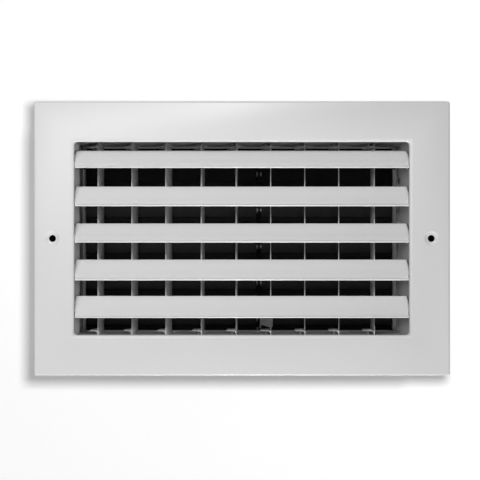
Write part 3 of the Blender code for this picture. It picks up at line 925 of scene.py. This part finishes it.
@dataclass
class FaceFrame:
    """The stamped face: rolled outer lip, rolled opening and two dimpled screw holes."""

    shop: Workshop
    width: float = 0.29845
    height: float = 0.19685
    edge_depth: float = 0.0055
    edge_round: float = 0.0016
    opening_round: float = 0.0024
    opening_return: float = 0.0008
    screw_spacing: float = 0.2715
    hole_radius: float = 0.0025
    dimple_radius: float = 0.0052
    dimple_depth: float = 0.0008
    dimple_profile: tuple[Pair, ...] = ((0.35, 0.90), (0.75, 0.62), (1.0, 0.0))
    drill_reach: float = 0.01
    burr: float = 0.0001
    round_steps: int = 6

    def build(self) -> None:
        """Models and delivers the face."""
        c = COMMON
        front = c.at(0.0)
        outer = Rim(front, self.width / 2, self.height / 2)
        hole = Rim(front, c.opening_width / 2, c.opening_height / 2)
        face = outer.plate("face_sheet")
        with face.bench():
            margin = outer.half_x - hole.half_x
            face.faces(lambda co, n: True).inset(margin)
            face.resize((1.0, 1.0, hole.half_z / (outer.half_z - margin)), (0.0, front, 0.0))
            face.drop("ONLY_FACE")
            face.rim(hole.round).extrude((0.0, self.opening_round + self.opening_return, 0.0))
            face.rim(outer.round).extrude((0.0, self.edge_depth, 0.0))
            face.face_away(lambda co, n: n.y < -FACING)
            face.edges(outer.either).bevel(self.edge_round, self.round_steps)
            face.edges(hole.either).bevel(self.opening_round, self.round_steps)
        face.thicken(c.face_sheet, -1.0)
        for side in SIDES:
            self._dimple(face, side * self.screw_spacing / 2)
        face.soften(self.burr, SHARP_STAMPED).shade()
        self.shop.deliver(face, "face_frame", "register", Slot.FRAME)

    def _dimple(self, face: Blank, x: float) -> None:
        """Presses one countersunk screw hole.

        Args:
            face: The face.
            x: Where across it.
        """
        c = COMMON
        middle = c.face_sheet / 2
        face.weld(self._dish(x, c.at(middle), self.dimple_depth + middle, c.face_sheet))
        sink = self._dish(x, c.at(0.0), self.dimple_depth, 0.0)
        with sink.bench():
            sink.faces(lambda co, n: n.y < -FACING).extrude((0.0, -c.face_sheet, 0.0))
        face.cut(sink).drill(self.hole_radius, (x, c.at(0.0), 0.0), 1, self.drill_reach)

    def _dish(self, x: float, y: float, depth: float, more: float) -> Blank:
        """A shallow dish that narrows towards the back.

        Args:
            x: Where across the face.
            y: World Y of its wide end.
            depth: How deep it is.
            more: What its radii have over the dimple's.

        Returns:
            The shape.
        """
        wide, narrow = self.dimple_radius + more, self.hole_radius + more
        dish = Blank.bar("dish", wide, (x, y, 0.0), (x, y + depth, 0.0))
        with dish.bench():
            dish.faces(lambda co, n: n.y > FACING)
            at, reached, step = 1.0, wide, dish.move
            for share, rest in self.dimple_profile:
                radius = narrow + (wide - narrow) * rest
                step((0.0, depth * (share - at), 0.0))
                dish.resize((radius / reached, 1.0, radius / reached), (x, y, 0.0))
                at, reached, step = share, radius, dish.extrude
        return dish


@dataclass
class Collar:
    """The duct collar behind the face: notched flange, four walls and narrow rear lips."""

    shop: Workshop
    rear: float = 0.0440
    rear_lip: float = 0.0016
    level_lip: float = 0.0006
    flange: float = 0.0050
    fold_round: float = 0.0007

    def build(self) -> None:
        """Models and delivers the collar."""
        c = COMMON
        front = c.at(c.face_sheet + c.seat_gap)
        back = c.at(self.rear - c.collar_sheet)
        outer = Rim(front, c.collar_width / 2 + self.flange, c.collar_height / 2 + self.flange)
        x, z = c.inner_x, c.inner_z
        neck, tail = Rim(front, x, z), Rim(back, x, z)
        collar = outer.plate("duct_collar")
        with collar.bench():
            collar.faces(lambda co, n: True).inset(self.flange + c.collar_sheet).drop("ONLY_FACE")
            collar.rim(neck.round).extrude((0.0, back - front, 0.0)).extrude((0.0, 0.0, 0.0))
            collar.resize(((x - self.rear_lip) / x, 1.0, (z - self.level_lip) / z), (0.0, back, 0.0))
            collar.face_away(lambda co, n: n.y < -FACING and abs(co.x) > x)
            collar.edges(neck.either).bevel(self.fold_round, FOLD_STEPS)
            collar.edges(tail.round).bevel(self.level_lip / 2, FOLD_STEPS)
        collar.thicken(c.collar_sheet, -1.0)
        notches = [self._notch(outer, side, end) for side in SIDES for end in SIDES]
        collar.cut(notches[0].gather(notches[1:]))
        for spot in map(pivot, numbered("front_blade_")):
            collar.drill(c.rivet_hole, (0.0, spot.y, spot.z), 0, c.collar_width)
        for spot in map(pivot, numbered("rear_fin_")):
            collar.drill(c.rivet_hole, (spot.x, spot.y, 0.0), 2, c.collar_height)
        for end in SIDES:
            spot = (0.0, c.at(c.damper_rivet_depth), end * c.damper_rivet_height)
            collar.drill(c.rivet_hole, spot, 0, c.collar_width)
        collar.shade()
        self.shop.deliver(collar, "collar", "register", Slot.FRAME)

    def _notch(self, outer: Rim, side: int, end: int) -> Blank:
        """The cutter for one corner of the flange.

        Args:
            outer: The flange's outline.
            side: 1 for the right and -1 for the left.
            end: 1 for the top and -1 for the bottom.

        Returns:
            The cutter.
        """
        x = side * (outer.half_x + COMMON.seat_gap)
        z = end * (outer.half_z + COMMON.seat_gap)
        low, high = ((x + s * self.flange, outer.y + s * self.flange, z + s * self.flange) for s in SIDES)
        return Blank.block("notch", low, high)


@dataclass
class FrontBlades:
    """The five level blades: crowned strip, rolled front edge and folded, rounded ears."""

    shop: Workshop
    tilts: tuple[float, ...] = (45.0, 50.0, 45.5, 48.5, 50.0)
    chord: float = 0.01905
    sheet: float = 0.0009
    nose_radius: float = 0.0011
    nose_length: float = 0.0050
    nose_clearance: float = 0.0006
    nose_turn: float = 320.0
    nose_steps: int = 12
    crown: float = 0.0006
    offset: float = 0.0034
    ear_width: float = 0.0084
    ear_sheet: float = 0.0008
    ear_drop: float = 0.0033
    ear_round: float = 0.92
    fold_steps: int = 4
    ear_steps: int = 6
    burr: float = 0.00012

    def _camber(self, y: float) -> float:
        """Height of the strip's middle surface: crowned, and rising to the roll.

        Args:
            y: Place across the strip.

        Returns:
            The height above the pivot.
        """
        crown = self.crown * (1 - (2 * y / self.chord) ** 2)
        ramp = max(0.0, (self.nose_length - self.chord / 2 - y) / (self.nose_length - self.nose_radius))
        return self.offset + crown + (self.nose_radius - self.sheet / 2) * min(ramp, 1.0) ** 2

    def build(self) -> None:
        """Models the blade about its own pivot and delivers a tilted copy at each pivot."""
        c = COMMON
        bend = self.sheet
        end = c.inner_x - c.seat_gap - self.ear_sheet / 2 - bend
        roll = self.nose_radius - self.sheet / 2
        nose_y = self.nose_radius - self.chord / 2
        shoulder = self.nose_length - self.chord / 2
        short = c.opening_width / 2 - self.nose_clearance
        ear = self.ear_width / 2
        strip = Blank.plate("blade", (-end, nose_y, self.offset), (end, self.chord / 2, self.offset))
        with strip.bench():
            rows = (shoulder, -ear, 0.0, ear, (ear + self.chord / 2) / 2, (nose_y + shoulder) / 2)
            for y in rows:
                strip.score((0.0, y, self.offset), (0.0, 1.0, 0.0))
            for x in (-short, short):
                strip.score((x, 0.0, self.offset), (1.0, 0.0, 0.0))
            strip.faces(lambda co, n: co.y < shoulder and abs(co.x) > short).drop()
            for y in (nose_y, *rows, self.chord / 2):
                strip.points(lambda co, row=y: abs(co.y - row) < NEAR)
                strip.move((0.0, 0.0, self._camber(y) - self.offset))
            centre = (0.0, nose_y, self._camber(nose_y) - roll)
            strip.rim(lambda a, b: max(a.y, b.y) < nose_y + NEAR)
            strip.spin(math.radians(self.nose_turn), self.nose_steps, centre, (1.0, 0.0, 0.0))
            drop = self._camber(0.0) - bend
            for side in SIDES:
                strip.rim(
                    lambda a, b, s=side: min(s * a.x, s * b.x) > end - NEAR
                    and max(abs(a.y), abs(b.y)) < ear + NEAR
                )
                strip.spin(side * QUARTER, self.fold_steps, (side * end, 0.0, drop), (0.0, 1.0, 0.0))
                strip.extrude((0.0, 0.0, -self.ear_drop - drop))
            strip.points(lambda co: abs(co.x) > end + bend / 2 and abs(abs(co.y) - ear) < NEAR and co.z < 0.0)
            strip.bevel(ear * self.ear_round, self.ear_steps, corners=True)
        strip.thicken(self.sheet, 0.0, even=False)
        strip.drill(c.rivet_hole, (0.0, 0.0, 0.0), 0, c.collar_width)
        strip.soften(self.burr, SHARP_STRIP).shade(SMOOTH_STRIP)
        self.shop.deliver_each(strip, "strip", "front_blade_", self.tilts, "X", Slot.BLADE)


@dataclass
class RearFins:
    """The nine upright fins: flat strip, folded at both ends into tapered ears."""

    shop: Workshop
    turns: tuple[float, ...] = (-7.0, -10.0, -13.0, -7.5, -5.5, -4.5, -6.5, -9.0, -2.5)
    width: float = 0.0160
    sheet: float = 0.0006
    offset: float = 0.0032
    bend_radius: float = 0.0012
    ear_reach: float = 0.0046
    ear_taper: float = 0.62
    tip_round: float = 0.0022
    fold_steps: int = 6
    tip_steps: int = 5
    burr: float = 0.0001

    def build(self) -> None:
        """Models the fin about its own pivot and delivers a turned copy at each pivot."""
        c = COMMON
        half = self.width / 2
        ear_z = c.inner_z - c.seat_gap - self.sheet / 2
        straight = ear_z - self.bend_radius
        bend_x = self.offset - self.bend_radius
        fin = Blank.plate("fin", (self.offset, -half, -straight), (self.offset, half, straight))
        with fin.bench():
            for side in SIDES:
                fin.rim(lambda a, b, s=side: min(s * a.z, s * b.z) > straight - NEAR)
                centre = (bend_x, 0.0, side * straight)
                fin.spin(-side * QUARTER, self.fold_steps, centre, (0.0, 1.0, 0.0))
                fin.extrude((-self.ear_reach - bend_x, 0.0, 0.0))
                fin.resize((1.0, self.ear_taper, 1.0), (0.0, 0.0, side * ear_z))
            fin.points(lambda co: co.x < -self.ear_reach + NEAR)
            fin.bevel(self.tip_round, self.tip_steps, corners=True)
        fin.thicken(self.sheet, 0.0).drill(c.rivet_hole, (0.0, 0.0, 0.0), 2, c.collar_height)
        fin.soften(self.burr, SHARP_STRIP).shade(SMOOTH_STRIP)
        self.shop.deliver_each(fin, "strip", "rear_fin_", self.turns, "Z", Slot.BLADE)


@dataclass(frozen=True)
class Seat:
    """Where one rivet goes."""

    node: str
    place: Triple
    turn: float
    axis: str = "Y"


@dataclass
class Rivets:
    """Semi-tubular rivets: domed head, shank and a rolled, hollow tail."""

    shop: Workshop
    rivet_head: Pair = (0.0023, 0.0009)
    pin_head: Pair = (0.0022, 0.0007)
    dome: tuple[Pair, ...] = ((0.35, 1.0), (0.65, 0.90), (0.87, 0.70), (1.0, 0.38))
    blade_ear_sheet: float = 0.0008
    fin_sheet: float = 0.0006
    tail_share: float = 0.9
    tail_roll: float = 0.5
    tail_taper: float = 0.82
    bore_share: float = 0.62
    bore_depth: float = 0.7

    def _rivet(self, radius: float, grip: float, head: float, height: float) -> Blank:
        """One rivet, its head up and its seat at the origin's height.

        Args:
            radius: Shank radius.
            grip: Length between head and tail.
            head: Head radius.
            height: Head height.

        Returns:
            The piece.
        """
        rivet = Blank.bar("rivet", radius, (0.0, 0.0, -grip), (0.0, 0.0, 0.0))
        with rivet.bench():
            rivet.faces(lambda co, n: n.z > FACING)
            rivet.extrude((0.0, 0.0, 0.0)).resize((head / radius, head / radius, 1.0))
            at, reached = 0.0, head
            for share, rest in self.dome:
                rivet.extrude((0.0, 0.0, height * (share - at)))
                rivet.resize((head * rest / reached, head * rest / reached, 1.0))
                at, reached = share, head * rest
            tail = head * self.tail_share / radius
            roll = -height * self.tail_roll
            rivet.faces(lambda co, n: n.z < -FACING and co.z < -grip / 2)
            rivet.extrude((0.0, 0.0, 0.0)).resize((tail, tail, 1.0))
            rivet.extrude((0.0, 0.0, roll)).extrude((0.0, 0.0, roll))
            rivet.resize((self.tail_taper, self.tail_taper, 1.0))
            rivet.extrude((0.0, 0.0, 0.0)).resize((self.bore_share, self.bore_share, 1.0))
            rivet.extrude((0.0, 0.0, height * self.bore_depth))
        return rivet.shade(SMOOTH_RIVET)

    def _deliver(self, rivet: Blank, body: str, seats: Sequence[Seat]) -> None:
        """Delivers a copy of a rivet to each seat, and discards the rivet.

        Args:
            rivet: The rivet to copy.
            body: The body that they ride on.
            seats: Where they go.
        """
        for seat in seats:
            place = Matrix.Translation(seat.place) @ Matrix.Rotation(seat.turn, 4, seat.axis)
            self.shop.deliver(rivet.copy(f"{seat.node}_turned", place), seat.node, body, Slot.HARDWARE)
        rivet.discard()

    def build(self) -> None:
        """Models each length of rivet once and delivers the copies."""
        c = COMMON
        ear = c.inner_x - self.blade_ear_sheet - 2 * c.seat_gap
        seats = [
            Seat(f"blade_rivet_{number}_{name}", (side * ear, *pivot(body).yz), -side * QUARTER)
            for number, body in enumerate(numbered("front_blade_"), 1)
            for name, side in (("left", -1), ("right", 1))
        ]
        grip = c.collar_width / 2 + c.seat_gap - ear
        self._deliver(self._rivet(c.rivet_radius, grip, *self.rivet_head), "register", seats)
        ear = c.inner_z - self.fin_sheet - 2 * c.seat_gap
        seats = [
            Seat(f"fin_rivet_{number}_{name}", (*pivot(body).xy, end * ear), turn, "X")
            for number, body in enumerate(numbered("rear_fin_"), 1)
            for name, end, turn in (("bottom", -1, 0.0), ("top", 1, math.pi))
        ]
        grip = c.collar_height / 2 + c.seat_gap - ear
        self._deliver(self._rivet(c.rivet_radius, grip, *self.rivet_head), "register", seats)
        wall = c.inner_x - c.seat_gap
        depth, height = c.at(c.damper_rivet_depth), c.damper_rivet_height
        corners = enumerate(((side, end) for end in (1, -1) for side in SIDES), 1)
        seats = [
            Seat(f"damper_rivet_{number}", (side * wall, depth, end * height), -side * QUARTER)
            for number, (side, end) in corners
        ]
        grip = c.damper_x + c.damper_sheet + c.seat_gap - wall
        self._deliver(self._rivet(c.rivet_radius, grip, *self.rivet_head), "register", seats)
        self._link_pins()

    def _link_pins(self) -> None:
        """Pins of the link bar in the shutters' lugs."""
        rise = self.pin_head[1]
        seats = []
        for number in range(1, SHUTTERS + 1):
            low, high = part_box(f"link_pin_{number}")
            place = (low.x + rise, (low.y + high.y) / 2, (low.z + high.z) / 2)
            seats.append(Seat(f"link_pin_{number}", place, -QUARTER))
        low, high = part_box("link_pin_1")
        grip = high.x - low.x - 2 * rise
        self._deliver(self._rivet(COMMON.lug_pin_radius, grip, *self.pin_head), "link", seats)


@dataclass
class Damper:
    """The galvanised sleeve round the collar's rear, and its five black shutters."""

    shop: Workshop
    rear_lip: float = 0.0020
    fold_round: float = 0.0007
    opens: float = 84.0
    sheet: float = 0.0007
    lap: float = 0.0012
    hem: float = 0.0030
    joggle: float = 0.0010
    end_gap: float = 0.0011
    axle_proud: float = 0.0012
    crank: float = 0.0090
    link_x: float = 0.0148
    link_sheet: float = 0.0010
    link_width: float = 0.0070
    lug_sheet: float = 0.0008
    lug_radius: float = 0.0032
    lug_foot: float = 0.6
    lug_round: float = 0.96
    lug_steps: int = 8
    slot_margin: float = 0.0005

    def build(self) -> None:
        """Models and delivers the sleeve and the shutters."""
        self._sleeve()
        angles = [self.opens] * SHUTTERS
        self.shop.deliver_each(self._shutter(), "shutter", "damper_blade_", angles, "X", Slot.SHUTTER)

    def _sleeve(self) -> None:
        """Models and delivers the damper's frame."""
        c = COMMON
        x, z = c.damper_x, c.damper_z
        front, back = c.at(c.damper_front), c.at(c.damper_rear - c.damper_sheet)
        sleeve = Rim(front, x, z).plate("damper_sleeve")
        with sleeve.bench():
            sleeve.faces(lambda co, n: True).drop("ONLY_FACE")
            sleeve.edges(lambda a, b: True).extrude((0.0, back - front, 0.0)).extrude((0.0, 0.0, 0.0))
            sleeve.resize(((x - self.rear_lip) / x, 1.0, (z - self.rear_lip) / z), (0.0, back, 0.0))
            sleeve.face_away(lambda co, n: n.y < -FACING)
            sleeve.edges(Rim(back, x, z).either).bevel(self.fold_round, FOLD_STEPS)
        sleeve.thicken(c.damper_sheet, -1.0)
        for spot in map(pivot, numbered("damper_blade_")):
            sleeve.drill(c.axle_radius + c.pin_gap, (0.0, spot.y, spot.z), 0, c.collar_width)
        for end in SIDES:
            spot = (0.0, c.at(c.damper_rivet_depth), end * c.damper_rivet_height)
            sleeve.drill(c.rivet_hole, spot, 0, c.collar_width)
        sleeve.shade()
        self.shop.deliver(sleeve, "damper_frame", "register", Slot.DAMPER)

    def _shutter(self) -> Blank:
        """One shutter about its own axle, lying open.

        Returns:
            The piece.
        """
        c = COMMON
        pitch = (2 * c.damper_z - self.lap - 2 * self.end_gap) / SHUTTERS
        half = (pitch + self.lap) / 2
        bend, flat = half - self.hem, half - self.hem - self.joggle
        length = c.damper_x - self.rear_lip - c.seat_gap
        shutter = Blank.plate("shutter", (-length, -half, 0.0), (length, half, 0.0))
        with shutter.bench():
            for y in (-bend, -flat, flat, bend):
                shutter.score((0.0, y, 0.0), (0.0, 1.0, 0.0))
            for side in SIDES:
                shutter.points(lambda co, s=side: s * co.y > bend - NEAR).move((0.0, 0.0, side * self.joggle))
        shutter.thicken(self.sheet, 0.0)
        low = self.link_x - self.link_sheet / 2 - self.slot_margin
        lug_x = self.link_x + self.link_sheet / 2 + c.seat_gap + self.lug_sheet / 2
        angle = math.radians(self.opens / 2)
        pin_y, pin_z = -self.crank * math.cos(angle), self.crank * math.sin(angle)
        back = pin_y + self.link_width / 2 + self.slot_margin
        slot_high = lug_x - self.lug_sheet / 4
        shutter.cut(Blank.block("slot", (low, -2 * half, -self.hem), (slot_high, back, self.hem)))
        shutter.weld(self._lug(lug_x, pin_y, pin_z))
        shutter.drill(c.lug_hole, (lug_x, pin_y, pin_z), 0, 4 * self.lug_sheet)
        for side in SIDES:
            start = side * (length - 4 * c.axle_radius)
            end = side * (c.damper_x + c.damper_sheet + self.axle_proud)
            shutter.weld(Blank.bar("axle", c.axle_radius, (start, 0.0, 0.0), (end, 0.0, 0.0)))
        return shutter.shade(SMOOTH_STRIP)

    def _lug(self, x: float, pin_y: float, pin_z: float) -> Blank:
        """The crank lug that stands on a shutter.

        Args:
            x: Middle of its sheet.
            pin_y: Place of its pin across the shutter.
            pin_z: Height of its pin.

        Returns:
            The piece.
        """
        r = self.lug_radius
        lug = Blank.plate("lug", (x, pin_y - r, 0.0), (x, pin_y + r, pin_z + r))
        with lug.bench():
            lug.points(lambda co: co.z < NEAR and co.y > pin_y).move((0.0, self.lug_foot * r, 0.0))
            lug.points(lambda co: co.z > NEAR).bevel(r * self.lug_round, self.lug_steps, corners=True)
        return lug.thicken(self.lug_sheet, 0.0)


@dataclass
class Link:
    """The upright link bar, its arm towards the room and the thumb tab on it."""

    shop: Workshop
    sheet: float = 0.0010
    width: float = 0.0070
    x: float = 0.0148
    tab_front: float = 0.0229
    tab_width: float = 0.0096
    tab_height: float = 0.0100
    tab_lift: float = 0.0006
    tab_corner: float = 0.0020
    tab_slant: float = 0.0028
    tab_steps: int = 6
    arm_height: float = 0.0075
    heel: float = 0.0030
    heel_steps: int = 5
    end_round: float = 0.49
    end_steps: int = 8
    burr: float = 0.00015

    def build(self) -> None:
        """Models and delivers the link bar."""
        c = COMMON
        low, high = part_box("link_bar")
        back, top, bottom = high.y, high.z, low.z
        front = back - self.width
        arm_top = bottom + self.arm_height
        tip = c.at(self.tab_front) + self.sheet / 2
        bar = Blank.plate("link_strap", (self.x, front, bottom), (self.x, back, top))
        with bar.bench():
            bar.score((self.x, 0.0, arm_top), (0.0, 0.0, 1.0))
            bar.rim(lambda a, b: max(a.y, b.y) < front + NEAR and max(a.z, b.z) < arm_top + NEAR)
            bar.extrude((0.0, tip - front, 0.0))
            bar.points(lambda co: co.z > top - NEAR)
            bar.bevel(self.width * self.end_round, self.end_steps, corners=True)
            bar.points(lambda co: co.z < bottom + NEAR and (co.y > back - NEAR or co.y < tip + NEAR))
            bar.bevel(self.heel, self.heel_steps, corners=True)
        left = self.x - self.sheet / 2
        tab_low = bottom + self.tab_lift
        right_top = (left + self.tab_width, tip, tab_low + self.tab_height)
        tab = Blank.plate("tab", (left, tip, tab_low), right_top)
        with tab.bench():
            tab.points(lambda co: co.x < left + NEAR and co.z < tab_low + NEAR)
            tab.move((0.0, 0.0, self.tab_slant))
            tab.points(lambda co: co.x > left + NEAR).bevel(self.tab_corner, self.tab_steps, corners=True)
        bar.thicken(self.sheet, 0.0).weld(tab.thicken(self.sheet, 0.0))
        for number in range(1, SHUTTERS + 1):
            low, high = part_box(f"link_pin_{number}")
            bar.drill(c.lug_hole, (self.x, (low.y + high.y) / 2, (low.z + high.z) / 2), 0, 4 * self.sheet)
        bar.soften(self.burr, SHARP_STAMPED).shade(SMOOTH_STRIP)
        self.shop.deliver(bar, "link_bar", "link", Slot.HARDWARE)


@dataclass(frozen=True)
class Lamp:
    """A square soft lamp that looks at the register."""

    name: str
    place: Triple
    size: float
    power: float
    shines_on: Group
    shaded_by: Group | None = None

    def hang(self, groups: dict[Group, bpy.types.Collection]) -> None:
        """Puts the lamp in its place.

        Args:
            groups: The groups of pieces.
        """
        data = bpy.data.lights.new(self.name, "AREA")
        data.size = self.size
        data.energy = self.power
        lamp = bpy.data.objects.new(self.name, data)
        bpy.context.scene.collection.objects.link(lamp)
        lamp.location = self.place
        lamp.rotation_euler = (-Vector(self.place)).to_track_quat("-Z", "Y").to_euler()
        lamp.light_linking.receiver_collection = groups[self.shines_on]
        lamp.light_linking.blocker_collection = groups.get(self.shaded_by)


@dataclass
class Studio:
    """Pale wall and floor, soft light and the camera of the photograph."""

    shop: Workshop
    wall_gap: float = 0.0020
    floor_drop: float = 0.1020
    stage_size: float = 6.0
    pale: float = 0.98
    glow: float = 0.36
    ambient: float = 0.10
    floor_light: float = 0.02
    flag_right: float = 0.0327
    flag_top: float = 0.0237
    flag_back: float = 0.0060
    # Cards behind the screw holes and the duct: their grey is painted shade, and their glow, seen only in
    # reflections, is a painted reflection.
    anchor_depth: float = 0.0050
    anchor_reach: float = 0.0050
    screw_x: float = 0.13575
    shade_card_grey: float = 0.01
    painted_reflection: float = 0.26
    camera_place: Triple = (-0.0196, -0.56015, -0.0061)
    lens: float = 55.02
    sensor: float = 36.0
    near_clip: float = 0.01
    shift: Pair = (0.0531, 0.0146)
    rig: tuple[Lamp, ...] = (
        Lamp("wall_lamp", (0.549, -2.03, 0.455), 0.26, 31.0, Group.BOARDS),
        Lamp("front", (0.0, -2.4, 1.05), 0.50, 28.7, Group.REGISTER),
        Lamp("front_left", (-0.22, -0.585, 0.18), 0.24, 1.4, Group.REGISTER),
        Lamp("table_glow", (0.06, -0.155, -0.85), 0.16, 6.2, Group.ROOM, Group.REGISTER),
        Lamp("side_glow_right", (0.60, -0.55, 0.0), 0.20, 4.4, Group.DUCT),
        Lamp("side_glow_left", (-0.60, -0.55, 0.0), 0.20, 2.0, Group.DUCT),
        Lamp("fin_glow", (0.60, -0.55, 0.0), 0.20, 0.28, Group.FINS),
        Lamp("behind_right", (0.9, 1.6, 0.9), 1.2, 22.0, Group.REGISTER),
        Lamp("behind_left", (-1.2, 1.3, 0.5), 1.2, 14.0, Group.REGISTER),
    )

    def build(self) -> None:
        """Sets up the stage, the light and the camera."""
        self._stage()
        self._world()
        self._flags()
        self._shade_cards()
        for lamp in self.rig:
            lamp.hang(self.shop.groups)
        self._camera()
        bpy.context.scene.view_settings.view_transform = "Standard"

    def _stage(self) -> None:
        """A wall just behind the register, seen only from its front, and a floor."""
        wall_y = CAD_BOX[1][1] + self.wall_gap
        floor_z = CAD_BOX[0][2] - self.floor_drop
        half = self.stage_size / 2
        wall = Blank.plate("stage_wall", (-half, wall_y, floor_z), (half, wall_y, floor_z + half))
        floor = Blank.plate("stage_floor", (-half, -half, floor_z), (half, half, floor_z))
        for piece, name in ((wall, "pale_wall"), (floor, "pale_floor")):
            piece.item.data.materials.append(self._pale(name, one_sided=piece is wall))
            self.shop.groups[Group.BOARDS].objects.link(piece.item)

    def _flags(self) -> None:
        """Boards past the flange's top and right edge, which only lengthen its shadow on the wall."""
        low, high = CAD_BOX
        y, top = low[1] + self.flag_back, high[2] + self.flag_top
        graph = Graph("flag_cloth")
        graph.feed(graph.shader, "Base Color", (0.0, 0.0, 0.0, 1.0))
        for name, start, end in (
            ("flag_top", (low[0], y, high[2]), (high[0], y, top)),
            ("flag_side", (high[0], y, low[2]), (high[0] + self.flag_right, y, top)),
        ):
            flag = Blank.plate(name, start, end).item
            flag.data.materials.append(graph.material)
            flag.visible_camera = flag.visible_diffuse = flag.visible_glossy = False

    def _shade_cards(self) -> None:
        """Near-black cards as painted shade behind the two screw holes and the duct, seen only from the room
        through the holes.
        """
        y = CAD_BOX[0][1] + self.anchor_depth
        reach = self.anchor_reach
        graph = Graph("painted_shade_card")
        # A glow that only glossy rays see: a painted reflection in the zinc and steel inside the duct.
        reflection_only_glow = graph.ray("Glossy") * self.painted_reflection
        graph.surface(graph.one_sided(graph.matt(self.shade_card_grey, reflection_only_glow)))
        hole_cards = [
            Blank.plate(f"anchor_{name}", (x - reach, y, -reach), (x + reach, y, reach))
            for x, name in ((-self.screw_x, "left"), (self.screw_x, "right"))
        ]
        duct = Rim(CAD_BOX[1][1] + self.wall_gap / 2, COMMON.inner_x, COMMON.inner_z)
        for card in (*hole_cards, duct.plate("duct_mouth")):
            card.item.data.materials.append(graph.material)

    def _pale(self, name: str, one_sided: bool) -> bpy.types.Material:
        """White board that glows a little for the camera, so that it renders white.

        Args:
            name: Name of the material.
            one_sided: Lets light and sight through from behind.

        Returns:
            The material.
        """
        graph = Graph(name)
        board = graph.matt(self.pale, graph.ray("Camera") * self.glow)
        around = graph.glow(self.ambient if one_sided else self.floor_light)
        lit = graph.mix(graph.ray("Diffuse"), board, around)
        if one_sided:
            clear = graph.add("ShaderNodeBsdfTransparent")
            lit = graph.one_sided(graph.mix(graph.ray("Shadow"), lit, clear))
        graph.surface(lit)
        return graph.material

    def _world(self) -> None:
        """Even light from all round, white to the camera."""
        world = bpy.data.worlds.new("studio")
        bpy.context.scene.world = world
        world.use_nodes = True
        nodes, links = world.node_tree.nodes, world.node_tree.links
        sky = nodes["Background"]
        sky.inputs["Color"].default_value = (1.0, 1.0, 1.0, 1.0)
        path = nodes.new("ShaderNodeLightPath")
        strength = nodes.new("ShaderNodeMapRange")
        strength.inputs["To Min"].default_value = self.ambient
        strength.inputs["To Max"].default_value = 1.0
        links.new(path.outputs["Is Camera Ray"], strength.inputs["Value"])
        links.new(strength.outputs["Result"], sky.inputs["Strength"])

    def _camera(self) -> None:
        """The photograph's camera: level, straight on, a little left of and below the middle."""
        data = bpy.data.cameras.new("camera")
        data.sensor_width = self.sensor
        data.lens = self.lens
        data.shift_x, data.shift_y = self.shift
        data.clip_start = self.near_clip
        camera = bpy.data.objects.new("camera", data)
        camera.location = self.camera_place
        camera.rotation_euler = (QUARTER, 0.0, 0.0)
        bpy.context.scene.collection.objects.link(camera)
        bpy.context.scene.camera = camera


def main() -> None:
    """Builds every sub-assembly and the studio."""
    logging.basicConfig(level=logging.INFO, format="%(message)s")
    shop = Workshop()
    for part in (FaceFrame, Collar, FrontBlades, RearFins, Rivets, Damper, Link, Studio):
        part(shop).build()


if __name__ == "__main__":
    main()
